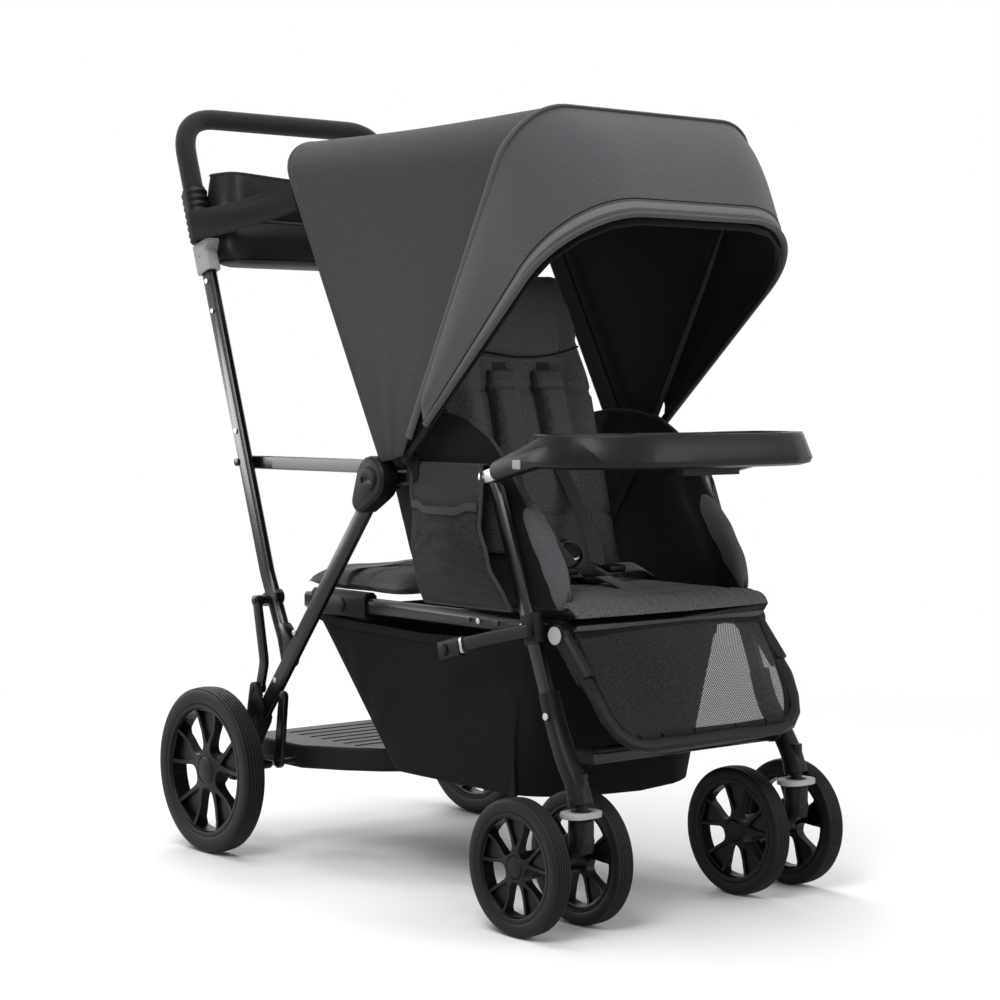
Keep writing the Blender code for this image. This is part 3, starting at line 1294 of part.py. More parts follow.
def tray():
    """The child's tray: a moulded dish with a snack deck and two cup wells on two arms with pivot eyes."""
    low, top = TRAY_BOTTOM, TRAY_TOP
    rings = []
    for z, grow in (
        (low, -0.010), (low + 0.003, -0.002), (low + 0.010, 0.0), (top - 0.004, -0.008), (top, -0.011)
    ):
        rings.append([Vector((x, y, z)) for x, y in tray_outline(grow)])
    body = bridge(bmesh.new(), rings)
    arms = []
    for sign in (1, -1):
        inner, outer = TUBE_OUT + 0.0034, TUBE_OUT + 0.0184
        outline = hull_outline(
            [(TRAY_PIVOT.x, TRAY_PIVOT.y, 0.0125), (-0.338, 0.592, 0.013), (-0.385, 0.604, 0.018)]
        )
        arms.append(chamfered(plate(outline, *sorted((sign * inner, sign * outer))), 0.002, 60))
    latch = slab([(-0.05, -0.47), (0.05, -0.47), (0.045, -0.43), (-0.045, -0.43)], low - 0.010, low + 0.004)
    full = fused(body, *arms, latch)
    cuts = []
    deck = [(x * 0.88, y) for x, y in tray_outline(-0.016)]
    cuts.append(slab([(x, -0.425 + (y + 0.425) * 0.90) for x, y in deck], top - 0.012, top + 0.02))
    for sign in (1, -1):
        centre = Vector((sign * 0.148, -0.420, 0))
        well = centre + Vector((0, 0, low + 0.006))
        cuts.append(rod(well, centre + Vector((0, 0, top + 0.01)), 0.030, 14, 0.036))
        inner, outer = sign * (TUBE_OUT - 0.01), sign * (TUBE_OUT + 0.0112 + GAP)
        cuts.append(cross_pin(TRAY_PIVOT, inner, outer, RIVET_RADIUS + RUNNING))
    return cut(full, *cuts)


def build_basket_and_tray(stroller):
    stroller.add("basket", "front_frame", basket(), "black cloth", smooth=60)
    stroller.body("tray", at(0, TRAY_PIVOT), "front_frame")
    stroller.add("tray", "tray", tray(), "moulding")


# Canopy


def arch(tip, half, inset=0.0, foot=0.0, corner=CANOPY_CORNER):
    """An inverted U over the canopy, from side to side, in the plane from the pivot to the tip."""
    up = (tip - CANOPY_PIVOT).normalized()
    reach = (tip - CANOPY_PIVOT).length - inset
    start = CANOPY_PIVOT + up * foot
    top = CANOPY_PIVOT + up * reach
    side = half - inset
    corners = [at(side, start), at(side, top), at(-side, top), at(-side, start)]
    return filleted(corners, corner - inset, 4)


def bow(tip, plane, corner=CANOPY_CORNER):
    """A flat strip bent into a canopy bow, with an eye on the canopy pin at each foot."""
    up = (tip - CANOPY_PIVOT).normalized()
    normal = at(0, Vector((-up.y, up.x)))
    strip = sweep(
        arch(tip, plane, corner=corner), rounded_box(BOW_WIDTH, BOW_THICK, 0.001, 1), normal
    )
    half = BOW_THICK / 2
    eyes = [
        cross_pin(CANOPY_PIVOT, s * (plane - half + 0.0002), s * (plane + half - 0.0002), 0.0085, 12)
        for s in (1, -1)
    ]
    return fused(strip, *eyes)


def pin_holes():
    return [cross_pin(CANOPY_PIVOT, s * 0.15, s * 0.25, 0.004 + RUNNING) for s in (1, -1)]


def canopy_planes():
    """Where each bow's side strips lie across the width, from the armrest outwards."""
    step = BOW_THICK + 0.0004
    first = TUBE_OUT + 0.0035 + BOW_THICK / 2
    return first, first + step, first + 2 * step


def canopy_rear_bow():
    """The fixed bow, with the clamps on the armrests and the pins that the other bows turn on."""
    plane, _, last = canopy_planes()
    body = bow(REAR_BOW_TIP, plane)
    pieces = []
    for s in (1, -1):
        clamp = hull_outline(
            [(CANOPY_PIVOT.x, CANOPY_PIVOT.y, 0.0115), (CANOPY_PIVOT.x, HUB.y + 0.004, 0.0125)]
        )
        pieces.append(plate(clamp, *sorted((s * (TUBE_OUT + GAP), s * (plane - 0.001)))))
        pieces.append(cross_pin(CANOPY_PIVOT, s * plane, s * (last + BOW_THICK / 2 + 0.0012), 0.004))
        face = last + BOW_THICK / 2
        pieces.append(cross_pin(CANOPY_PIVOT, s * (face + 0.0004), s * (face + 0.0018), 0.007))
    return fused(body, *pieces)


def cloth_between(rings, thickness):
    """A closed sheet through rows of points, its thickness laid outside them."""
    count = len(rings[0])
    outer = []
    for r, row in enumerate(rings):
        pushed = []
        for i, point in enumerate(row):
            across = row[min(i + 1, count - 1)] - row[max(i - 1, 0)]
            down = rings[min(r + 1, len(rings) - 1)][i] - rings[max(r - 1, 0)][i]
            pushed.append(point + across.cross(down).normalized() * thickness)
        outer.append(pushed)
    centre = sum((row[count // 2] for row in rings), Vector()) / len(rings)
    probe = outer[0][count // 2] - rings[0][count // 2]
    if probe.dot(rings[0][count // 2] - at(0, CANOPY_PIVOT)) < 0 and centre:
        outer = [[2 * point - moved_point for point, moved_point in zip(a, b)] for a, b in zip(rings, outer)]
    return bridge(bmesh.new(), [near + far[::-1] for near, far in zip(rings, outer)])


def canopy_rows(first, last, count, clear, sag, foot, last_corner=CANOPY_CORNER):
    """Arches blended from one bow's plane to another's, just outside the bows."""
    half = canopy_planes()[2] + CANOPY_EASE
    start = arch(first, half, -clear, foot)
    end = arch(last, half, -clear, foot, last_corner)
    rows = []
    for step in range(count + 1):
        t = step / count
        dip = sag * math.sin(math.pi * t)
        row = []
        for a, b in zip(start, end):
            point = a.lerp(b, t)
            lift = min(1.0, max(0.0, (point.z - CANOPY_PIVOT.y) / 0.35))
            row.append(point - Vector((0, 0, dip * lift)))
        rows.append(row)
    return rows


def canopy_roof():
    """The main cloth between the rear and middle bows, down to the canopy pivots, with a slight sag."""
    rows = canopy_rows(REAR_BOW_TIP, MIDDLE_BOW_TIP, 5, 0.0055, 0.010, 0.012)
    return cloth_between(rows, CANOPY_CLOTH)


def canopy_visor():
    """The front cloth between the middle bow and the brim, crowned forward."""
    start = MIDDLE_BOW_TIP.lerp(FRONT_BOW_TIP, 0.06)
    rows = canopy_rows(start, FRONT_BOW_TIP, 4, 0.0024, -0.018, 0.085, FRONT_BOW_CORNER)
    return cloth_between(rows, CANOPY_CLOTH)


def build_canopy(stroller):
    _, middle, outer = canopy_planes()
    pivot = at(0, CANOPY_PIVOT)
    stroller.add("canopy_rear_bow", "front_frame", canopy_rear_bow(), "moulding")
    stroller.body("canopy_middle_bow", pivot, "front_frame")
    stroller.add(
        "canopy_middle_bow",
        "canopy_middle_bow",
        cut(bow(MIDDLE_BOW_TIP, middle), *pin_holes()),
        "moulding",
    )
    stroller.body("canopy_front_bow", pivot, "front_frame")
    front = bow(FRONT_BOW_TIP, outer, FRONT_BOW_CORNER)
    stroller.add("canopy_front_bow", "canopy_front_bow", cut(front, *pin_holes()), "moulding")
    stroller.add("canopy_roof", "front_frame", canopy_roof(), "canopy cloth", smooth=60)
    stroller.add("canopy_visor", "canopy_front_bow", canopy_visor(), "visor cloth", smooth=60)


def centre_over_origin(stroller):
    """Slide the whole stroller along Y until its box stands over the origin."""
    bpy.context.view_layer.update()
    reach = []
    for obj in bpy.data.objects:
        if obj.type == "MESH":
            reach += [(obj.matrix_world @ vertex.co).y for vertex in obj.data.vertices]
    stroller.bodies["front_frame"].location.y -= (min(reach) + max(reach)) / 2
    bpy.context.view_layer.update()


def main():
    for obj in list(bpy.data.objects):
        bpy.data.objects.remove(obj)
    stroller = Stroller()
    build_front_frame(stroller)
    build_casters(stroller)
    build_rear_frame(stroller)
    build_wheels(stroller)
    build_handle(stroller)
    build_seat(stroller)
    build_basket_and_tray(stroller)
    build_canopy(stroller)
    centre_over_origin(stroller)
    for name, empty in stroller.bodies.items():
        place = empty.matrix_world.translation
        print(f"{name}: pivot at {place.x:.5f}, {place.y:.5f}, {place.z:.5f}")


main()
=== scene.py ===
"""The looks of a folding sit-and-stand stroller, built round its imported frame."""

import json
import math

import bmesh
import bpy
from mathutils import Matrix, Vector, kdtree, noise


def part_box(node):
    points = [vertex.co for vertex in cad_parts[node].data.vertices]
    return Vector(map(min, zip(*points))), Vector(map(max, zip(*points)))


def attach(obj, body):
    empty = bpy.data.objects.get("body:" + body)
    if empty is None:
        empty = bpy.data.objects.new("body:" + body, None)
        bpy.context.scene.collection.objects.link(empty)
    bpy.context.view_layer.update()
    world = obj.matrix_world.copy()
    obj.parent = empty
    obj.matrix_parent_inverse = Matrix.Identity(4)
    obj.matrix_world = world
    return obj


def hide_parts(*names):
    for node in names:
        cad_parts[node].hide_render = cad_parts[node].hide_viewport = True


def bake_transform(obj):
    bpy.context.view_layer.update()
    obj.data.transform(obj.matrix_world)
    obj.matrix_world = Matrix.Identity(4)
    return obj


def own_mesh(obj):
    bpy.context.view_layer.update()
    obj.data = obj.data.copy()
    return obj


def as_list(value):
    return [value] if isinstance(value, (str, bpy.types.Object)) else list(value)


bl_info = {
    "name": "Sit-and-stand stroller",
    "version": (1, 0, 0),
    "blender": (4, 5, 0),
    "location": "View3D > Sidebar > Stroller",
    "description": "Builds the visible pieces and finishes of a folding tandem stroller",
    "category": "Add Mesh",
}

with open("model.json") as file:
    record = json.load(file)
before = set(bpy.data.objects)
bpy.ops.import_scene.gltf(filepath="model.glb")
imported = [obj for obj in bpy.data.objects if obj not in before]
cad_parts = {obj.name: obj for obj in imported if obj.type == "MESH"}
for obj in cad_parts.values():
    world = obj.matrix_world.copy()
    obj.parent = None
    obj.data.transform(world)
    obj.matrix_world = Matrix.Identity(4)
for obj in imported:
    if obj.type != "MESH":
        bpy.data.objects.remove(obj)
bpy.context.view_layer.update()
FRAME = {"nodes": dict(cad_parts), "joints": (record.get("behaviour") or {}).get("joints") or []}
NODES = FRAME["nodes"]
JOINTS = {joint["name"]: joint.get("pos_m") for joint in FRAME["joints"]}
SIDES = {"left": 1, "right": -1}
MM = 0.001

# Side-plane heights and depths are measured from the link pin, as the frame's own drawing does
AHEAD = JOINTS["link_fold"][1]
HUB = Vector(JOINTS["frame_fold"])
CANOPY_PIVOT = Vector(JOINTS["canopy_fold"])
BACK_HINGE = Vector(JOINTS["recline"])
FOOTREST_PIVOT = Vector(JOINTS["footrest_fold"])
REAR_AXLE = Vector(JOINTS["rear_wheel_spin_left"])
FRONT_AXLE = Vector(JOINTS["front_wheel_spin_left_outer"])


def spot(x, y, z):
    """A point of the stroller, with y counted from the link pin."""
    return Vector((x, y + AHEAD, z))


def clamp(value, low=0.0, high=1.0):
    return max(low, min(high, value))


def smooth(value):
    value = clamp(value)
    return value * value * (3 - 2 * value)


def bump(value, centre, width):
    """A bell of height one."""
    return math.exp(-(((value - centre) / width) ** 2))


def squared(angle, power_x, power_y):
    """A point of a rounded square of half width one, at an angle; lower powers are squarer."""
    c, s = math.cos(angle), math.sin(angle)
    return math.copysign(abs(c) ** power_x, c), math.copysign(abs(s) ** power_y, s)


# Finishes

MATT_SPECULAR = 0.16  # low, since the white studio would lift the blacks
MOTTLE_EDGES = (0.32, 0.68)
NET_HOLE_EDGES = (0.20, 0.42)


def linear(hex_colour):
    """An sRGB hex colour as linear RGBA."""
    channels = [int(hex_colour[i : i + 2], 16) / 255 for i in (1, 3, 5)]
    curve = [c / 12.92 if c <= 0.04045 else ((c + 0.055) / 1.055) ** 2.4 for c in channels]
    return (*curve, 1.0)


def shade(colour):
    """Linear RGBA of a hex colour, or of the user's colour of that name."""
    if colour.startswith("#"):
        return linear(colour)
    return (*getattr(bpy.context.scene.stroller, colour), 1.0)


def node(tree, kind, settings=None, links=None):
    """Adds a node. Settings name its properties or its inputs, and links feed its inputs."""
    made = tree.nodes.new("ShaderNode" + kind)
    for name, value in (settings or {}).items():
        if name in made.inputs:
            made.inputs[name].default_value = value
        else:
            setattr(made, name, value)
    for name, source in (links or {}).items():
        tree.links.new(source, made.inputs[name])
    return made


def combined(tree, operation, first, second):
    settings = {"operation": operation, "use_clamp": True}
    return node(tree, "Math", settings, {0: first, 1: second}).outputs["Value"]


class Finish:
    """A material in the making. The sizes and depths of its patterns are in millimetres."""

    def __init__(self, name, settings):
        self.material = bpy.data.materials.new(name)
        self.material.use_nodes = True
        self.tree = self.material.node_tree
        self.shader = self.tree.nodes["Principled BSDF"]
        for key, value in {"Specular IOR Level": MATT_SPECULAR, **settings}.items():
            self.shader.inputs[key].default_value = value
        self.place = node(self.tree, "TexCoord").outputs
        self.normal = None

    def feed(self, name, source):
        self.tree.links.new(source, self.shader.inputs[name])

    def noise(self, size, detail=2.0, space="Object", more=None):
        settings = {"Scale": 1 / (size * MM), "Detail": detail, **(more or {})}
        return node(self.tree, "TexNoise", settings, {"Vector": self.place[space]}).outputs["Fac"]

    def cells(self, size):
        links = {"Vector": self.place["Object"]}
        return node(self.tree, "TexVoronoi", {"Scale": 1 / (size * MM)}, links).outputs["Distance"]

    def threads(self, pitch, along, vector=None):
        """Threads across one axis, from 0 to 1. At scale 1 the wave turns 20 radians in a metre."""
        settings = {"bands_direction": along, "Scale": math.pi / 10 / (pitch * MM)}
        settings.update({"Distortion": 0.6, "Detail": 1.0, "Detail Scale": 2.0})
        links = {"Vector": vector or self.place["UV"]}
        return node(self.tree, "TexWave", settings, links).outputs["Fac"]

    def mottle(self, low, high, size, space="Object"):
        """Feeds the base colour with a noise between two colours, and returns the noise."""
        cloud = self.noise(size, 3.0, space, {"Roughness": 0.6})
        ramp = node(self.tree, "ValToRGB", None, {"Fac": cloud})
        for i, colour in enumerate((low, high)):
            ramp.color_ramp.elements[i].position = MOTTLE_EDGES[i]
            ramp.color_ramp.elements[i].color = shade(colour)
        self.feed("Base Color", ramp.outputs["Color"])
        return cloud

    def spread(self, source, low, high, edges=(0.0, 1.0)):
        """A pattern mapped from between its edges to between low and high."""
        settings = {"From Min": edges[0], "From Max": edges[1], "To Min": low, "To Max": high}
        return node(self.tree, "MapRange", settings, {"Value": source}).outputs["Result"]

    def relief(self, height, depth, strength=1.0):
        """Adds a bump of that depth over the earlier ones."""
        links = {"Height": height}
        if self.normal is not None:
            links["Normal"] = self.normal
        settings = {"Distance": depth * MM, "Strength": strength}
        self.normal = node(self.tree, "Bump", settings, links).outputs["Normal"]
        self.feed("Normal", self.normal)


def cloth(name, low, high, pitch, sheen, roughness=0.9, grain=2.381, depth=0.25):
    """Woven polyester: two sets of threads at right angles, drawn a little coarser than real,
    a mottled yarn colour and the pale nap that shows at grazing angles."""
    made = Finish(
        name,
        {
            "Roughness": roughness,
            "Sheen Weight": sheen,
            "Sheen Roughness": 0.45,
            "Sheen Tint": linear("#a9aaac"),
            "Specular IOR Level": 0.12,
        },
    )
    made.mottle(low, high, grain, "UV")
    warp, weft = made.threads(pitch, "X"), made.threads(pitch, "Y")
    made.relief(combined(made.tree, "MAXIMUM", warp, weft), depth)
    made.relief(made.noise(35.71), 1.2, 0.5)
    return made.material


def moulding(name, low, high, roughness, coat=0.0):
    """Injection-moulded nylon: one colour all through, a fine spark-eroded grain
    and slightly polished patches where hands and straps rub it."""
    made = Finish(name, {"Roughness": roughness, "Coat Weight": coat, "Coat Roughness": 0.3})
    made.mottle(low, high, 111.1)
    made.feed("Roughness", made.spread(made.noise(71.43, 4.0), roughness - 0.07, roughness + 0.08))
    made.relief(made.noise(0.625), 0.12, 0.6)
    return made.material


def powder_coat(name, low, high, roughness):
    """Powder-coated aluminium tube: satin black with a faint orange peel."""
    made = Finish(
        name,
        {"Roughness": roughness, "Coat Weight": 0.14, "Coat Roughness": 0.2, "Specular IOR Level": 0.3},
    )
    made.mottle(low, high, 166.7)
    made.relief(made.noise(1.923, 1.0), 0.06, 0.7)
    return made.material


def plated_steel(name, colour, roughness):
    """Zinc-plated steel: a grey metal with fine drawn lines and dulled spots."""
    made = Finish(name, {"Metallic": 1.0, "Roughness": roughness})
    made.mottle(colour, "#c9cacc", 16.67)
    made.feed("Roughness", made.spread(made.noise(1.111), roughness - 0.06, roughness + 0.12))
    return made.material


def tyre_rubber(name):
    """Foamed EVA tyre: matt charcoal with fine pores and a dusty nap."""
    made = Finish(name, {"Roughness": 0.5, "Specular IOR Level": 0.18})
    cloud = made.mottle("#0a0a0b", "#111112", 25.0)
    made.relief(made.noise(0.4545), 0.15, 0.5)
    made.relief(cloud, 0.3, 0.3)
    return made.material


def grip_foam(name):
    """Closed-cell foam grip: soft black, its cells drawn about twice as wide as real."""
    made = Finish(name, {"Roughness": 0.8, "Sheen Weight": 0.15})
    made.mottle("#101011", "#1b1b1d", 3.333)
    made.relief(made.cells(0.9091), 0.2, 0.7)
    return made.material


def net_cloth(name, colour, pitch, openness):
    """Polyester net: round-cornered holes between knitted threads, drawn at twice the real pitch."""
    made = Finish(name, {"Roughness": 0.85, "Sheen Weight": 0.1, "Base Color": linear(colour)})
    turn = {"Rotation": (0, 0, math.radians(45))}
    turned = node(made.tree, "Mapping", turn, {"Vector": made.place["UV"]}).outputs["Vector"]
    made.mottle(colour, "#242526", 3.846, "UV")
    warp, weft = made.threads(pitch, "X", turned), made.threads(pitch, "Y", turned)
    hole = combined(made.tree, "MULTIPLY", warp, weft)
    threads = made.spread(hole, 1.0, 1.0 - openness, NET_HOLE_EDGES)
    made.feed("Alpha", threads)
    made.relief(threads, 0.4, 0.8)
    return made.material


def webbing(name, low, high):
    """Woven strap: ribs across its width every two millimetres."""
    made = Finish(name, {"Roughness": 0.75, "Sheen Weight": 0.25, "Specular IOR Level": 0.35})
    made.mottle(low, high, 3.333, "UV")
    made.relief(made.threads(2.2, "Y"), 0.35, 0.8)
    return made.material


def leathercloth(name):
    """Coated bag cloth: a slightly glossy black film over a fine weave, with shallow creases."""
    made = Finish(name, {"Roughness": 0.5, "Coat Weight": 0.05, "Coat Roughness": 0.35})
    made.mottle("#0e0e0f", "#17171a", 62.5)
    made.relief(made.cells(1.923), 0.2, 0.6)
    made.relief(made.noise(45.45, 3.0, "Object", {"Distortion": 0.8}), 2.0, 0.5)
    return made.material


MELANGE = (2.0, 0.3, 0.92, 1.613, 0.35)

# Each finish: its slot (none where only the frame's own nodes wear it), what makes the material, the
# material's name, its colours and its measures
FINISHES = {
    "canopy": ("canopy_cloth", cloth, "canopy_woven_polyester", "canopy_low", "canopy_high", 1.6, 0.35),
    "visor": ("visor_cloth", cloth, "visor_woven_polyester", "visor_low", "visor_high", 1.6, 0.4),
    "drape": ("seat_cloth", cloth, "drape_melange_cloth", "#1c1d1e", "#303133", *MELANGE),
    "basket": ("black_cloth", cloth, "basket_woven_polyester", "#090909", "#101011", 1.6, 0.06),
    "lining": ("black_cloth", cloth, "canopy_lining_cloth", "#0c0c0d", "#141415", 1.6, 0.12),
    # The seat's mélange is lifted well above the drape's, which shares its slot and measures: painted light
    # that makes up for the shade the seat sits in. The mottle between its two yarns is real.
    "seat": ("seat_cloth", cloth, "seat_melange_cloth", "seat_low", "seat_high", *MELANGE),
    "black cloth": ("black_cloth", cloth, "black_woven_polyester", "#0d0d0e", "#151516", 1.6, 0.16),
    "piping": ("seat_cloth", cloth, "grey_piping_cloth", "#2e2f31", "#3e3f41", 1.4, 0.2),
    "trim": ("visor_cloth", cloth, "reflective_trim_tape", "#5a5b5d", "#6a6b6d", 1.8, 0.2, 0.55),
    "net": ("black_cloth", net_cloth, "footrest_net", "#1b1b1c", 2.6, 0.55),
    "pocket net": ("black_cloth", net_cloth, "pocket_net", "#101011", 3.4, 0.4),
    "webbing": ("black_cloth", webbing, "harness_webbing", "#0b0b0c", "#141415"),
    "tube": (None, powder_coat, "powder_coated_aluminium", "#070708", "#0b0b0c", 0.26),
    "link": ("grey_moulding", powder_coat, "grey_anodised_cover", "#5d5e60", "#68696b", 0.42),
    "moulding": ("black_moulding", moulding, "moulded_black_nylon", "#08080a", "#0d0d0e", 0.44),
    "tray": (None, moulding, "moulded_satin_tray", "#0a0a0b", "#0e0e0f", 0.36, 0.06),
    "rim": ("black_moulding", moulding, "moulded_wheel_nylon", "#050506", "#080809", 0.36),
    "grey": ("grey_moulding", moulding, "moulded_grey_nylon", "#8f9091", "#9c9d9e", 0.5),
    "tyre": ("wheel_tyre", tyre_rubber, "tyre_eva_foam"),
    "foam": ("grip_foam", grip_foam, "grip_closed_cell_foam"),
    "steel": ("bare_steel", plated_steel, "zinc_plated_steel", "#8b8d90", 0.34),
    "chrome": ("bare_steel", plated_steel, "bright_ring_steel", "#b5b7ba", 0.2),
    "bag": ("black_cloth", leathercloth, "bag_coated_cloth"),
}


def material(finish):
    """The material of a finish, made when it is first asked for."""
    _, make, name, *settings = FINISHES[finish]
    return bpy.data.materials.get(name) or make(name, *settings)


# Mesh helpers


def surface(columns, rows, place, size=(1.0, 1.0), closed=False):
    """A grid pushed into shape: place(u, v) gives a point, u and v from 0 to 1. UVs are in metres."""
    bm = bmesh.new()
    uv = bm.loops.layers.uv.new("UVMap")
    bmesh.ops.create_grid(bm, x_segments=columns, y_segments=rows, size=0.5, calc_uvs=True)
    for face in bm.faces:
        for loop in face.loops:
            loop[uv].uv = (loop[uv].uv.x * size[0], loop[uv].uv.y * size[1])
    for vert in bm.verts:
        vert.co = place(vert.co.x + 0.5, vert.co.y + 0.5)
    if closed:
        bmesh.ops.remove_doubles(bm, verts=bm.verts, dist=1e-6)
        filled(bm)
    return bm


def filled(bm, below=math.inf):
    """Closes the holes whose rim lies below a height."""
    rim = [edge for edge in bm.edges if edge.is_boundary and edge.verts[0].co.z < below]
    bmesh.ops.holes_fill(bm, edges=rim, sides=0)
    bmesh.ops.recalc_face_normals(bm, faces=bm.faces)


def turned_over(bm, when=True):
    if when:
        bmesh.ops.reverse_faces(bm, faces=bm.faces)
    return bm


def mirrored(bm):
    """The same shape on the other side of the stroller."""
    bmesh.ops.scale(bm, verts=bm.verts, vec=(-1, 1, 1))
    return turned_over(bm)


def through(points, count):
    """Evenly counted points on a Catmull-Rom curve through a few points."""
    last = len(points) - 1
    made = []
    for step in range(count + 1):
        t = step / count * last
        i = min(int(t), last - 1)
        t -= i
        a, b, c, d = (points[int(clamp(i + k, 0, last))] for k in (-1, 0, 1, 2))
        bend, twist = 2 * a - 5 * b + 4 * c - d, 3 * b - a - 3 * c + d
        made.append(0.5 * (2 * b + (c - a) * t + bend * t * t + twist * t * t * t))
    return made


def spots(sign, rows):
    """Points of one side of the stroller."""
    return [spot(sign * x, y, z) for x, y, z in rows]


def rounded(points, radius, steps):
    """A polyline with its inner corners rounded off."""
    made = [points[0]]
    for before, corner, after in zip(points, points[1:], points[2:]):
        back, on = (before - corner), (after - corner)
        reach = min(radius, back.length * 0.48, on.length * 0.48)
        start, end = corner + back.normalized() * reach, corner + on.normalized() * reach
        for step in range(steps + 1):
            t = step / steps
            made.append(start * (1 - t) ** 2 + corner * 2 * t * (1 - t) + end * t * t)
    made.append(points[-1])
    return made


def evenly(points, count):
    """The polyline at equal steps of its length, and that length."""
    lengths = [0.0]
    for a, b in zip(points, points[1:]):
        lengths.append(lengths[-1] + (b - a).length)
    made, i = [], 0
    for step in range(count + 1):
        want = lengths[-1] * step / count
        while i < len(points) - 2 and lengths[i + 1] < want:
            i += 1
        span = max(lengths[i + 1] - lengths[i], 1e-9)
        made.append(points[i].lerp(points[i + 1], clamp((want - lengths[i]) / span)))
    return made, lengths[-1]


def swept(path, outline, steps=16, rows=48, side=(1, 0, 0), size=None):
    """A bar along a path. Its outline is width, depth and squareness, in millimetres: an ellipse at
    squareness 1, a rounded bar near 0.3. Its width keeps to side, and size(v) scales it on the way."""
    width, depth, squareness = (*outline, 1.0)[:3]
    points, length = evenly(path, rows)
    frames = []
    for i, point in enumerate(points):
        ahead = (points[min(i + 1, rows)] - points[max(i - 1, 0)]).normalized()
        across = Vector(side)
        across = (across - ahead * across.dot(ahead)).normalized()
        frames.append((point, across, ahead.cross(across)))

    def place(u, v):
        point, across, out = frames[round(v * rows)]
        x, y = squared(2 * math.pi * (u % 1.0), squareness, squareness)
        scale = size(v) if size else 1.0
        return point + (across * (x * width * MM / 2) + out * (y * depth * MM / 2)) * scale

    return surface(steps, rows, place, (0.08, length), True)


def revolved(profile, steps, centre):
    """A profile of (radius, x) pairs turned about the line along X through centre."""
    bm = bmesh.new()
    verts = [bm.verts.new((x, 0, r)) for r, x in profile]
    edges = [bm.edges.new((a, b)) for a, b in zip(verts, verts[1:] + verts[:1])]
    whole = {"cent": (0, 0, 0), "axis": (1, 0, 0), "angle": 2 * math.pi, "use_merge": True}
    bmesh.ops.spin(bm, geom=verts + edges, steps=steps, **whole)
    bmesh.ops.remove_doubles(bm, verts=bm.verts, dist=1e-6)
    bmesh.ops.recalc_face_normals(bm, faces=bm.faces)
    bmesh.ops.translate(bm, verts=bm.verts, vec=centre)
    return bm


def eased(bm, edges, width):
    bmesh.ops.bevel(bm, geom=edges, offset=width, segments=3, profile=0.5, affect="EDGES", material=-1)


def disc(radius, depth, centre, steps, chamfer, axis=(1, 0, 0)):
    """A short round bar centred on a point, with a bevel round its ends."""
    bm = bmesh.new()
    bmesh.ops.create_cone(bm, cap_ends=True, segments=steps, radius1=radius, radius2=radius, depth=depth)
    eased(bm, [edge for edge in bm.edges if abs(edge.verts[0].co.z - edge.verts[1].co.z) < 1e-6], chamfer)
    turn = Vector((0, 0, 1)).rotation_difference(Vector(axis)).to_matrix()
    bmesh.ops.rotate(bm, verts=bm.verts, cent=(0, 0, 0), matrix=turn)
    bmesh.ops.translate(bm, verts=bm.verts, vec=centre)
    return bm


def block(size, centre, chamfer):
    """A box with bevelled edges."""
    bm = bmesh.new()
    bmesh.ops.create_cube(bm, size=1.0)
    bmesh.ops.scale(bm, verts=bm.verts, vec=size)
    eased(bm, bm.edges, chamfer)
    bmesh.ops.translate(bm, verts=bm.verts, vec=centre)
    return bm


def pillow(columns, rows, place, rim):
    """A closed pad: place(u, v, side) gives its upper (1) and lower (-1) skin, which meet at the rim."""

    def wrapped(u, v):
        return place(u * 2, v, 1) if u <= 0.5 else place(2 - u * 2, v, -1)

    return surface(columns * 2, rows, wrapped, (rim, rim), True)


def object_of(name, bm):
    """A linked object with the bmesh's shape. The bmesh is used up."""
    mesh = bpy.data.meshes.new(name)
    bm.to_mesh(mesh)
    bm.free()
    made = bpy.data.objects.new(name, mesh)
    bpy.context.scene.collection.objects.link(made)
    return made


def evaluated(made):
    return made.evaluated_get(bpy.context.evaluated_depsgraph_get())


def piece(name, bm, finish, body, replaces=(), angle=40, modifiers=()):
    """Makes the object, gives it its finish and sends it with its body: a name, or a function."""
    if not bm.faces:
        raise ValueError(f"{name} has no faces")
    made = object_of(name, bm)
    made.data.materials.append(material(finish))
    made.data.shade_smooth()
    made.data.set_sharp_from_angle(angle=math.radians(angle))
    for kind, settings in modifiers:
        modifier = made.modifiers.new(kind.title(), kind)
        for key, value in settings.items():
            setattr(modifier, key, value)
    if replaces:
        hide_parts(*replaces)
    if callable(body):
        body(made)
    else:
        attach(made, body)
    return made


def sheet(name, bm, finish, body, holders, replaces=(), modifiers=()):
    """A piece of one sheet of cloth. Its area and what holds it are worked out, but neither is kept."""
    area = round(sum(face.calc_area() for face in bm.faces), 4)
    made = piece(name, bm, finish, body, replaces, 180, modifiers)
    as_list(holders)


def pad(name, bm, finish, body, replaces=()):
    piece(name, bm, finish, body, replaces, 70)


PUFF_FRAMES = 20
PUFF_PRESSURE = 4.0


